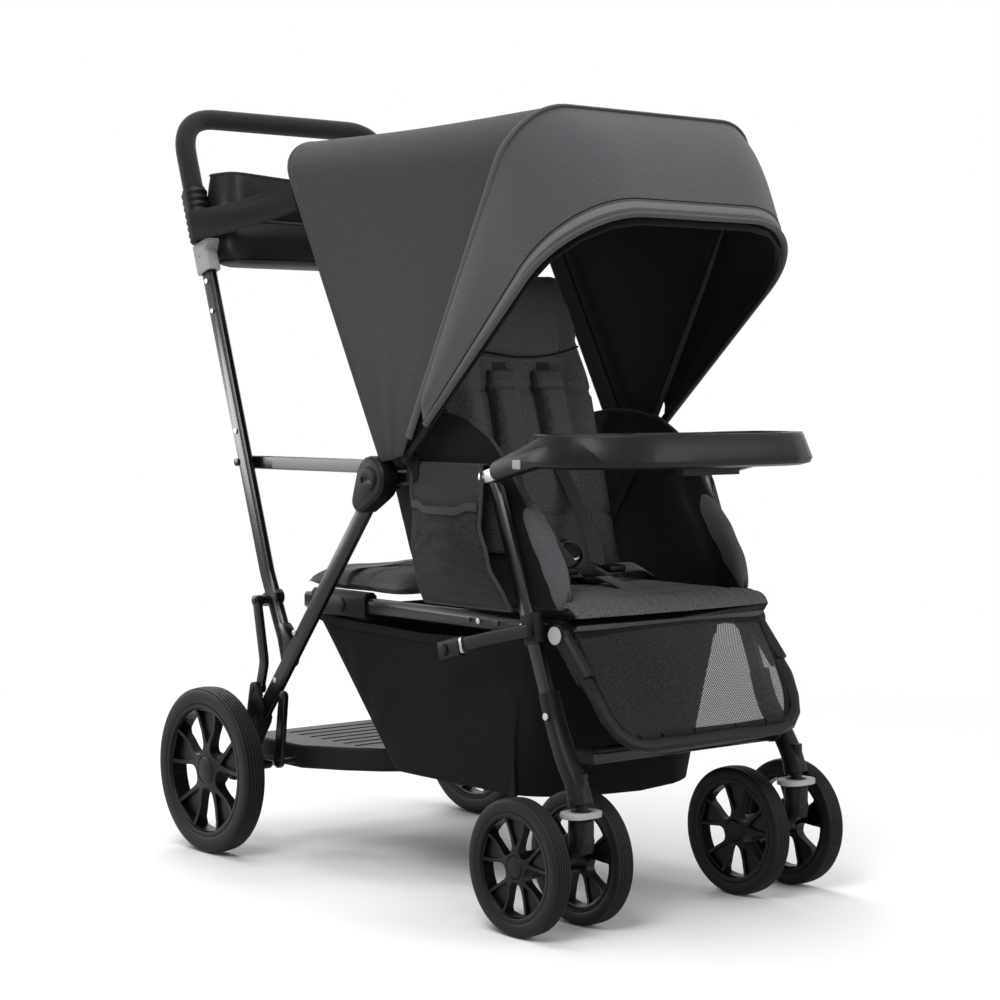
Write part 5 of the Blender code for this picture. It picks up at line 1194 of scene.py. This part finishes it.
        def roll_size(v):
            return 0.35 + 0.65 * (1 - (2 * v - 1) ** 4) + 0.03 * math.sin(v * 23)

        pad("seat_wing_" + side, pillow(48, 48, place, 0.2), "black cloth", "seat_frame")
        spine = through(spots(sign, [(0.160, y + 0.012, z) for y, z in WING_FRONT[:4]]), 40)
        roll = swept(spine, (25, 33, 0.8), 24, 40, size=roll_size)
        pad("seat_bolster_" + side, roll, "seat", "seat_frame")
        rim = [outline(1, i / 40) for i in range(41)] + [outline(1 - i / 20, 1) for i in range(1, 17)]
        rim = spots(sign, [(WING_X + WING_SPLAY * clamp((p.z - WING_FOOT) / 0.24), p.y, p.z) for p in rim])
        piece("seat_wing_piping_" + side, swept(rim, (4.2, 4.2), 8, 90), "piping", "seat_frame")

    @staticmethod
    def bench():
        def place(u, v, side):
            x = (2 * u - 1) * BENCH_HALF * (1 - 0.02 * crown(v, 2))
            y = BENCH_FRONT + (BENCH_REAR - BENCH_FRONT) * v - 0.006 * (1 - crown(u, 6)) * (v - 0.5)
            seam = 0.0035 * sum(bump(v, k, 0.014) for k in (0.33, 0.66))
            slack = 0.0015 * noise.noise(Vector((x * 22, y * 22, 4.4)))
            round_over = (crown(u, 10) * crown(v, 8)) ** 0.5
            rise = 0.019 + slack - seam if side > 0 else -0.0075
            return spot(x, y, BENCH_LOW + rise * round_over)

        cushion = settled(pillow(48, 48, place, 0.3), 4 * MM)
        pad("bench_cushion", cushion, "seat", "seat_frame", ["bench_pad"])
        for side, sign in SIDES.items():
            belt = swept(through(spots(sign, BENCH_BELT), 60), WEBBING, 12, 60, (0, 1, 0))
            piece("bench_belt_" + side, belt, "webbing", "seat_frame", (), 50)
        buckle = block((0.056, 0.034, 0.013), spot(0, 0.100, 0.434), 4 * MM)
        piece("bench_buckle", buckle, "moulding", "seat_frame")


# Side cloth, basket and footrest net

# From inside the armrest over its top and down outside: out from the middle, and height
DRAPE_SECTION = [
    (0.1778, 0.470), (0.1776, 0.520), (0.1778, 0.560), (0.1792, 0.579), (0.1835, 0.5848), (0.1915, 0.5850),
    (0.1975, 0.5810), (0.1996, 0.562), (0.2075, 0.530), (0.2140, 0.492), (0.2140, 0.450), (0.2080, 0.420),
    (0.2000, 0.400),
]

# The drape's rear and front edges: height, and where the edge lies
DRAPE_REAR = [(0.398, -0.132), (0.508, -0.125), (0.560, -0.104), (0.590, -0.092)]
DRAPE_FRONT = [(0.398, -0.312), (0.413, -0.307), (0.463, -0.283), (0.513, -0.262), (0.590, -0.248)]
POCKET_MOUTH = 0.655


def between(table, value):
    """A smooth value between the rows of a short table."""
    for (a, x), (b, y) in zip(table, table[1:]):
        if value <= b:
            return x + (y - x) * smooth((value - a) / (b - a))
    return table[-1][1]


class STROLLER_OT_side_cloth(bpy.types.Operator):
    """The side drapes over the armrests, each with a net pocket and piped edges"""

    bl_idname = "stroller.side_cloth"
    bl_label = "Side drapes"

    def execute(self, context):
        for side, sign in SIDES.items():
            self.drape(side, sign, context.scene.stroller)
        return {"FINISHED"}

    @staticmethod
    def drape(side, sign, user):
        line = through([Vector((x, 0, z)) for x, z in DRAPE_SECTION], 72)

        def place(u, v, out=0.0):
            point = line[round(clamp(v) * 72)]
            rear, front = between(DRAPE_REAR, point.z), between(DRAPE_FRONT, point.z)
            outside = smooth((v - 0.55) / 0.12)
            fold = 2.2 * MM * noise.noise(Vector((u * 3.2, v * 4.5, 2.2))) * outside
            belly = 6 * MM * math.sin(math.pi * u) * outside * smooth((1 - v) / 0.15)
            return spot(sign * (point.x + fold + belly + out), rear + (front - rear) * u, point.z)

        drape = turned_over(surface(48, 72, place, (0.18, 0.33)), sign > 0)
        name, replaced, depth = "side_drape_" + side, ["side_panel_" + side], thick(user.drape_thickness)
        leg = ["front_leg_" + side]
        sheet(name, drape, "drape", "front_frame", leg, replaced, [depth])
        edge = [place(0, 0.5 + 0.5 * i / 30, 1 * MM) for i in range(31)]
        edge += [place(i / 24, 1, 1 * MM) for i in range(1, 25)]
        edge += [place(1, 1 - 0.5 * i / 30, 1 * MM) for i in range(1, 31)]
        piece("side_drape_piping_" + side, swept(edge, (5.0, 5.0), 10, 140), "piping", "front_frame")

        def pocket(u, v):
            mouth = POCKET_MOUTH + 0.02 * math.sin(math.pi * u)
            puff = 3.2 * MM + 5 * MM * math.sin(math.pi * u) * (1 - v) ** 0.7
            return place(0.02 + 0.96 * u, mouth + (0.995 - mouth) * v, puff)

        net = turned_over(surface(40, 40, pocket, (0.17, 0.12)), sign > 0)
        held = ["side_drape_" + side]
        sheet("pocket_net_" + side, net, "pocket net", "front_frame", held)
        band = through([pocket(i / 8, 0.02) + Vector((sign * 2.4 * MM, 0, 0)) for i in range(9)], 60)
        piece("pocket_hem_" + side, swept(band, (11, 2.4, 0.5), 10, 60, (0, 0, 1)), "piping", "front_frame")


BASKET_HALF = 0.163
BASKET_LOW = 0.150
BASKET_HEM = 0.3572
PLEAT_TURNS = 85


def gathered(made):
    """Rides the front frame, with a mesh of its own."""
    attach(made, "front_frame")
    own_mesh(made)


class STROLLER_OT_basket(bpy.types.Operator):
    """The cloth basket slung under the seats, with its hem and soft folds"""

    bl_idname = "stroller.basket"
    bl_label = "Basket"

    def execute(self, context):
        sides = surface(176, 48, self.wall, (1.3, 0.24))
        bmesh.ops.remove_doubles(sides, verts=sides.verts, dist=1e-6)
        filled(sides, BASKET_LOW + 0.01)
        piece("basket_cloth", sides, "basket", gathered, ["basket"], 55, [thick(2.0 * MM, -1.0)])
        hem = swept([self.wall(i / 176, 1.0) for i in range(177)], (13, 5, 0.7), 10, 176, (0, 0, 1))
        piece("basket_hem", hem, "basket", gathered, (), 60)
        return {"FINISHED"}

    @staticmethod
    def wall(u, v):
        """Round the basket once, starting at its left side, v from the bottom's edge to the hem."""
        front, rear = -0.338 - 0.012 * v, 0.022 + 0.178 * v
        half = BASKET_HALF - 0.010 * (1 - v)
        a = math.tau * u
        across, along = squared(a, 0.22, 0.16)
        c, ahead = abs(math.cos(a)), clamp(-math.sin(a) * 3)
        x = across * half
        y = (front + rear) / 2 + along * (rear - front) / 2
        y += 0.060 * across**2 * ahead * (1 - v * 0.8)
        z = BASKET_LOW + (BASKET_HEM - BASKET_LOW) * v
        z -= 0.014 * crown(clamp((y - front) / (rear - front)), 2) * v**6 * c**0.3
        pull = 2.4 * MM * noise.noise(Vector((y * 16, x * 9, v * 1.8)))
        pleat = 1.4 * MM * math.sin(y * PLEAT_TURNS + 1.5 * math.sin(v * 3)) * c**0.5
        slack = (pull + pleat) * math.sin(math.pi * clamp(v * 0.9 + 0.05))
        return spot(x + math.copysign(slack, x) * (abs(across) > 0.98), y, z)


class STROLLER_OT_footrest_net(bpy.types.Operator):
    """The net hammock of the footrest, with its rolled hem"""

    bl_idname = "stroller.footrest_net"
    bl_label = "Footrest net"

    def execute(self, context):
        top, low = FOOTREST_PIVOT + Vector((0, -0.014, 0.010)), FOOTREST_PIVOT + Vector((0, -0.098, -0.128))
        normal = Vector((0, low.z - top.z, top.y - low.y)).normalized()

        def place(u, v):
            half = 0.163 - 0.004 * v - 0.030 * v**6
            belly = 0.034 * crown(u, 2) * math.sin(math.pi * clamp(0.08 + v * 0.92))
            slack = 0.003 * noise.noise(Vector((u * 4, v * 3, 8)))
            return Vector(((2 * u - 1) * half, 0, 0)) + top.lerp(low, v) + normal * (belly + slack)

        body = "footrest"
        net = surface(64, 40, place, (0.33, 0.16))
        sheet("footrest_net_panel", net, "net", body, ["footrest"], ["footrest_mesh"])
        hem = [place(i / 60, 1) + Vector((0, 0, 0.004)) for i in range(61)]
        piece("footrest_net_hem", swept(hem, (9, 9), 12, 80), "black cloth", body)
        for side, share in (("left", 1), ("right", 0)):
            edge = swept([place(share, i / 30) for i in range(31)], (7, 4), 10, 40)
            piece("footrest_net_edge_" + side, edge, "black cloth", body)
        band = surface(48, 6, lambda u, v: place(u, v * 0.10) + normal * 0.0015, (0.33, 0.02))
        piece("footrest_net_band", band, "black cloth", body, (), 180)
        return {"FINISHED"}


# Fittings

CASTER_X = 0.193
LEG_X = 0.189
LATCH_X = 0.2045
LATCH_ARM = [(LATCH_X, y, z) for y, z in ((-0.352, 0.378), (-0.300, 0.368), (-0.240, 0.354), (-0.192, 0.342))]
LATCH_END = [(LATCH_X, -0.214, 0.347), (LATCH_X, -0.172, 0.336)]
LATCH_BAND = [(LATCH_X, -0.222, 0.3495), (LATCH_X, -0.217, 0.3482)]
LATCH_COLLAR = [(LEG_X, -0.3375, 0.397), (LEG_X, -0.3475, 0.360)]
LINK_COVER = [(0.1788, 0.262, 0.5745), (0.1788, 0.016, 0.5745)]
CASTER_SLEEVE = [
    (LEG_X, -0.372, 0.300), (LEG_X, -0.386, 0.262), (CASTER_X, -0.410, 0.222), (CASTER_X, -0.429, 0.192),
    (CASTER_X, -0.438, 0.1665),
]
LEG_LEAN = 0.55


def sleeve_size(v):
    return 0.90 + 0.10 * v + 0.05 * smooth((v - 0.9) / 0.05)


class STROLLER_OT_fittings(bpy.types.Operator):
    """Latch arms, hub lobes, screws, rivets, buttons and caps on the frame"""

    bl_idname = "stroller.fittings"
    bl_label = "Fittings"

    def execute(self, context):
        for side, sign in SIDES.items():
            self.latch_arm(side, sign)
            self.hub(side, sign)
            cover = swept(spots(sign, LINK_COVER), (2.4, 16.5, 0.3), 16, 4)
            piece("side_link_cover_" + side, cover, "link", "side_links")
            self.caster_sleeve(side, sign)
            button = block((0.008, 0.015, 0.012), spot(sign * 0.2130, -0.3394, 0.5875), 1.8 * MM)
            piece("tray_button_" + side, button, "grey", "tray")
            self.screws(side, sign)
        return {"FINISHED"}

    @staticmethod
    def latch_arm(side, sign):
        """The flat fold latch that runs back from its collar on the front leg to a hooked end."""
        arm = swept(through(spots(sign, LATCH_ARM), 30), (8.5, 18, 0.4), 20, 30)
        piece("latch_arm_" + side, arm, "moulding", "front_frame")
        end = swept(spots(sign, LATCH_END), (12, 25, 0.5), 20, 4)
        piece("latch_end_" + side, end, "moulding", "front_frame")
        knob = disc(0.0085, 0.016, spot(sign * 0.2055, -0.184, 0.339), 32, 2 * MM)
        piece("latch_knob_" + side, knob, "moulding", "front_frame")
        ring = swept(spots(sign, LATCH_BAND), (12.6, 22, 0.45), 20, 3)
        piece("latch_band_" + side, ring, "steel", "front_frame")
        collar = swept(spots(sign, LATCH_COLLAR), (21, 29, 0.45), 24, 4)
        piece("latch_collar_" + side, collar, "moulding", "front_frame")

    @staticmethod
    def hub(side, sign):
        lobe = disc(0.0175, 0.005, HUB + Vector((sign * 0.2225, 0, 0)), 48, 1.8 * MM)
        piece("hub_cap_" + side, lobe, "moulding", "rear_frame")
        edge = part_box("footrest")[1][0] + 0.0006
        cap = disc(0.0115, 0.003, FOOTREST_PIVOT + Vector((sign * edge, 0, 0)), 40, 0.9 * MM)
        piece("footrest_cap_" + side, cap, "grey", "footrest")
        bolt = disc(0.0055, 0.002, HUB + Vector((sign * 0.2255, 0, 0)), 24, 0.6 * MM)
        piece("hub_rivet_" + side, bolt, "steel", "rear_frame")

    @staticmethod
    def caster_sleeve(side, sign):
        """The moulded sleeve that turns the leg's line down into the caster's upright stem."""
        sleeve = swept(through(spots(sign, CASTER_SLEEVE), 60), (28, 28, 0.8), 28, 60, size=sleeve_size)
        piece("caster_sleeve_" + side, sleeve, "moulding", "front_frame", ["caster_housing_" + side])
        low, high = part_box("front_crossbar")
        bar = (Vector(low) + Vector(high)) / 2
        bar.x = sign * (high[0] - 0.010)
        root = spot(sign * LEG_X, -0.386, 0.262)
        root.y += (bar.z - root.z) * LEG_LEAN
        root.z = bar.z
        boss = swept([bar, bar.lerp(root, 0.5), root], (25, 25, 0.8), 24, 8, (0, 0, 1))
        piece("crossbar_socket_" + side, boss, "moulding", "front_frame")
        screw = disc(0.0048, 0.003, spot(sign * (LEG_X + 0.0150), -0.383, 0.272), 20, 0.8 * MM)
        piece("caster_sleeve_screw_" + side, screw, "steel", "front_frame")

    @staticmethod
    def screws(side, sign):
        places = [("handle", on_handle(sign * 0.1975, z)) for z in (0.62, 0.80, 0.845)]
        places += [("rear_frame", spot(sign * 0.2160, y, z)) for y, z in ((0.155, 0.335), (0.205, 0.262))]
        places += [("seat_frame", spot(sign * 0.1648, y, 0.376)) for y in (-0.20, -0.29)]
        for i, (body, centre) in enumerate(places):
            piece(f"screw_{side}_{i}", disc(0.0042, 0.0022, centre, 20, 0.6 * MM), "steel", body)


# Frame finishes

# How the names of the frame's own nodes begin. The first row that fits counts, and the rest are moulded
CAD_FINISHES = {
    "tube": (
        "front_leg", "rear_leg", "handle_tube", "handlebar", "brace_", "side_link", "seat_rail",
        "platform_link", "front_crossbar",
    ),
    "foam": ("handle_grip",),
    "black cloth": ("canopy_", "basket", "side_panel"),
    "steel": ("rear_axle", "tray_bracket"),
    "grey": ("fold_trigger", "swivel_lock"),
    "tray": ("tray",),
    "bag": ("parent_organizer",),
    "net": ("footrest_mesh",),
    "seat": ("seat_pad", "seat_back", "bench_pad"),
}


class STROLLER_OT_frame(bpy.types.Operator):
    """Finishes for the frame's own pieces, with their edges eased"""

    bl_idname = "stroller.frame"
    bl_label = "Frame finishes"

    def execute(self, context):
        for name, obj in NODES.items():
            fitting = [kind for kind, starts in CAD_FINISHES.items() if name.startswith(starts)]
            obj.data.materials.clear()
            obj.data.materials.append(material(fitting[0] if fitting else "moulding"))
            for polygon in obj.data.polygons:
                polygon.use_smooth = True
            obj.modifiers.new("Weld", "WELD").merge_threshold = 0.02 * MM
            ease = obj.modifiers.new("Ease", "BEVEL")
            ease.width, ease.segments = 0.5 * MM, 2
            ease.limit_method, ease.angle_limit = "ANGLE", math.radians(38)
            ease.use_clamp_overlap = True
            obj.modifiers.new("Split", "EDGE_SPLIT").split_angle = math.radians(32)
        return {"FINISHED"}


# Stage

CAMERA_PLACE = spot(-2.093, -2.588, 0.684)
CAMERA_YAW = 39.459
CAMERA_DOWN = 2.756
CAMERA_LENS = 83.80
LAMP_AIM = (0, 0, 0.5)
FLOOR_RADIUS = 12.0
FLOOR_FADE = (0.9, 2.2)
FLOOR_GREY = (0.86, 0.86, 0.86, 1)
WORLD_LIGHT = 0.38

# Each lamp: its place, what it is aimed at, its size and its power; two sizes make a strip
LAMPS = {
    "key": ((-2.4, -1.6, 3.0), LAMP_AIM, (1.8,), 80),
    "fill": ((1.4, -3.0, 1.5), LAMP_AIM, (2.2,), 36),
    "back": ((1.0, 2.6, 2.6), LAMP_AIM, (2.0,), 50),
    "top": ((-0.2, 0.1, 3.2), LAMP_AIM, (2.2,), 55),
    "strip": ((-1.42, 2.15, 0.80), (-0.19, 0.30, 0.76), (0.9, 0.5), 15),
}


class STROLLER_OT_stage(bpy.types.Operator):
    """The camera, the soft studio light, the pale floor and the white surroundings"""

    bl_idname = "stroller.stage"
    bl_label = "Stage"

    def execute(self, context):
        scene = context.scene
        scene.view_settings.view_transform = "Standard"
        camera = bpy.data.cameras.new("camera")
        camera.sensor_width = 36
        camera.lens = CAMERA_LENS
        view = bpy.data.objects.new("camera", camera)
        view.location = CAMERA_PLACE
        view.rotation_euler = (math.radians(90 - CAMERA_DOWN), 0, -math.radians(CAMERA_YAW))
        scene.collection.objects.link(view)
        bpy.context.scene.camera = view
        for name, settings in LAMPS.items():
            self.lamp(scene, name, *settings)
        self.floor()
        self.surroundings(scene)
        return {"FINISHED"}

    @staticmethod
    def lamp(scene, name, place, aim, size, power):
        light = bpy.data.lights.new(name, "AREA")
        light.shape = "DISK" if len(size) == 1 else "RECTANGLE"
        light.size, light.size_y = size[0], size[-1]
        light.energy = power
        made = bpy.data.objects.new(name, light)
        made.location = place
        made.rotation_euler = (Vector(aim) - Vector(place)).to_track_quat("-Z", "Y").to_euler()
        made.visible_diffuse = len(size) == 1
        scene.collection.objects.link(made)

    @staticmethod
    def floor():
        """A pale disc that fades into the white surroundings, where the camera sees it."""
        bm = bmesh.new()
        bmesh.ops.create_circle(bm, cap_ends=True, segments=96, radius=FLOOR_RADIUS)
        ground = object_of("floor", bm)
        ground.location.z = -0.0005
        settings = {"Base Color": FLOOR_GREY, "Roughness": 0.75, "Specular IOR Level": 0.2}
        made = Finish("pale_floor", settings)
        tree = made.tree
        far = node(tree, "VectorMath", {"operation": "LENGTH"}, {"Vector": made.place["Object"]})
        edges = {"From Min": FLOOR_FADE[0], "From Max": FLOOR_FADE[1]}
        fade = node(
            tree, "MapRange", {"interpolation_type": "SMOOTHSTEP", **edges}, {"Value": far.outputs["Value"]}
        )
        glow = node(tree, "Emission", {"Color": (1, 1, 1, 1), "Strength": 1.0})
        path = node(tree, "LightPath").outputs
        seen = combined(tree, "ADD", path["Is Camera Ray"], path["Is Transmission Ray"])
        share = combined(tree, "MULTIPLY", fade.outputs["Result"], seen)
        links = {0: share, 1: made.shader.outputs["BSDF"], 2: glow.outputs["Emission"]}
        mix = node(tree, "MixShader", None, links)
        tree.links.new(mix.outputs["Shader"], tree.nodes["Material Output"].inputs["Surface"])
        ground.data.materials.append(made.material)

    @staticmethod
    def surroundings(scene):
        """White to the camera and in reflections, and a dimmer light on the stroller."""
        world = bpy.data.worlds.new("studio")
        world.use_nodes = True
        scene.world = world
        tree = world.node_tree
        background = tree.nodes["Background"]
        path = node(tree, "LightPath").outputs
        white = combined(tree, "ADD", path["Is Camera Ray"], path["Is Glossy Ray"])
        white = combined(tree, "ADD", white, path["Is Transmission Ray"])
        strength = node(tree, "MapRange", {"To Min": WORLD_LIGHT, "To Max": 1.0}, {"Value": white})
        background.inputs["Color"].default_value = (1, 1, 1, 1)
        tree.links.new(strength.outputs["Result"], background.inputs["Strength"])


# Settings and panel


def colour(label, default):
    text, start = "Colour of the " + label.lower(), linear(default)[:3]
    return bpy.props.FloatVectorProperty(
        name=label, description=text, subtype="COLOR", default=start, min=0, max=1
    )


def length(label, description, default):
    limits = {"min": 0.1 * MM, "max": 0.1, "precision": 4}
    return bpy.props.FloatProperty(
        name=label, description=description, default=default, unit="LENGTH", **limits
    )


class STROLLER_PG_settings(bpy.types.PropertyGroup):
    """What a user would change before building the pieces"""

    canopy_low: colour("Canopy's darker yarn", "#2a2b2c")
    canopy_high: colour("Canopy's lighter yarn", "#353637")
    visor_low: colour("Visor's darker yarn", "#3f4042")
    visor_high: colour("Visor's lighter yarn", "#4b4c4e")
    # The seat's two yarn colours are lifted about two and a half times above the cloth's own tone: painted
    # light for the shade inside the seat. The mottle between them is real.
    seat_low: colour("Seat's darker yarn", "#38393b")
    seat_high: colour("Seat's lighter yarn", "#5c5d60")
    canopy_thickness: length("Canopy cloth", "Thickness of the canopy's cloth", 1.4 * MM)
    drape_thickness: length("Side drapes", "Thickness of the cloth over the armrests", 1.6 * MM)
    grip_width: length("Grip", "Width of the foam grip", 31 * MM)
    groove_depth: length("Tread grooves", "Depth of the grooves round the tyres", 1.8 * MM)


STEPS = (
    "frame", "wheels", "canopy", "handle", "seat", "side_cloth", "basket", "footrest_net", "fittings", "stage"
)


class STROLLER_PT_panel(bpy.types.Panel):
    """Lists the stroller's settings and pieces"""

    bl_idname = "STROLLER_PT_panel"
    bl_label = "Stroller"
    bl_space_type = "VIEW_3D"
    bl_region_type = "UI"
    bl_category = "Stroller"

    def draw(self, context):
        for name in STROLLER_PG_settings.__annotations__:
            self.layout.prop(context.scene.stroller, name)
        for step in STEPS:
            self.layout.operator("stroller." + step)


CLASSES = (
    STROLLER_PG_settings,
    STROLLER_OT_frame,
    STROLLER_OT_wheels,
    STROLLER_OT_canopy,
    STROLLER_OT_handle,
    STROLLER_OT_seat,
    STROLLER_OT_side_cloth,
    STROLLER_OT_basket,
    STROLLER_OT_footrest_net,
    STROLLER_OT_fittings,
    STROLLER_OT_stage,
    STROLLER_PT_panel,
)


def register():
    for kind in CLASSES:
        bpy.utils.register_class(kind)
    bpy.types.Scene.stroller = bpy.props.PointerProperty(type=STROLLER_PG_settings)


def unregister():
    del bpy.types.Scene.stroller
    for kind in reversed(CLASSES):
        bpy.utils.unregister_class(kind)


def main():
    register()
    for step in STEPS:
        getattr(bpy.ops.stroller, step)()


if __name__ == "__main__":
    main()
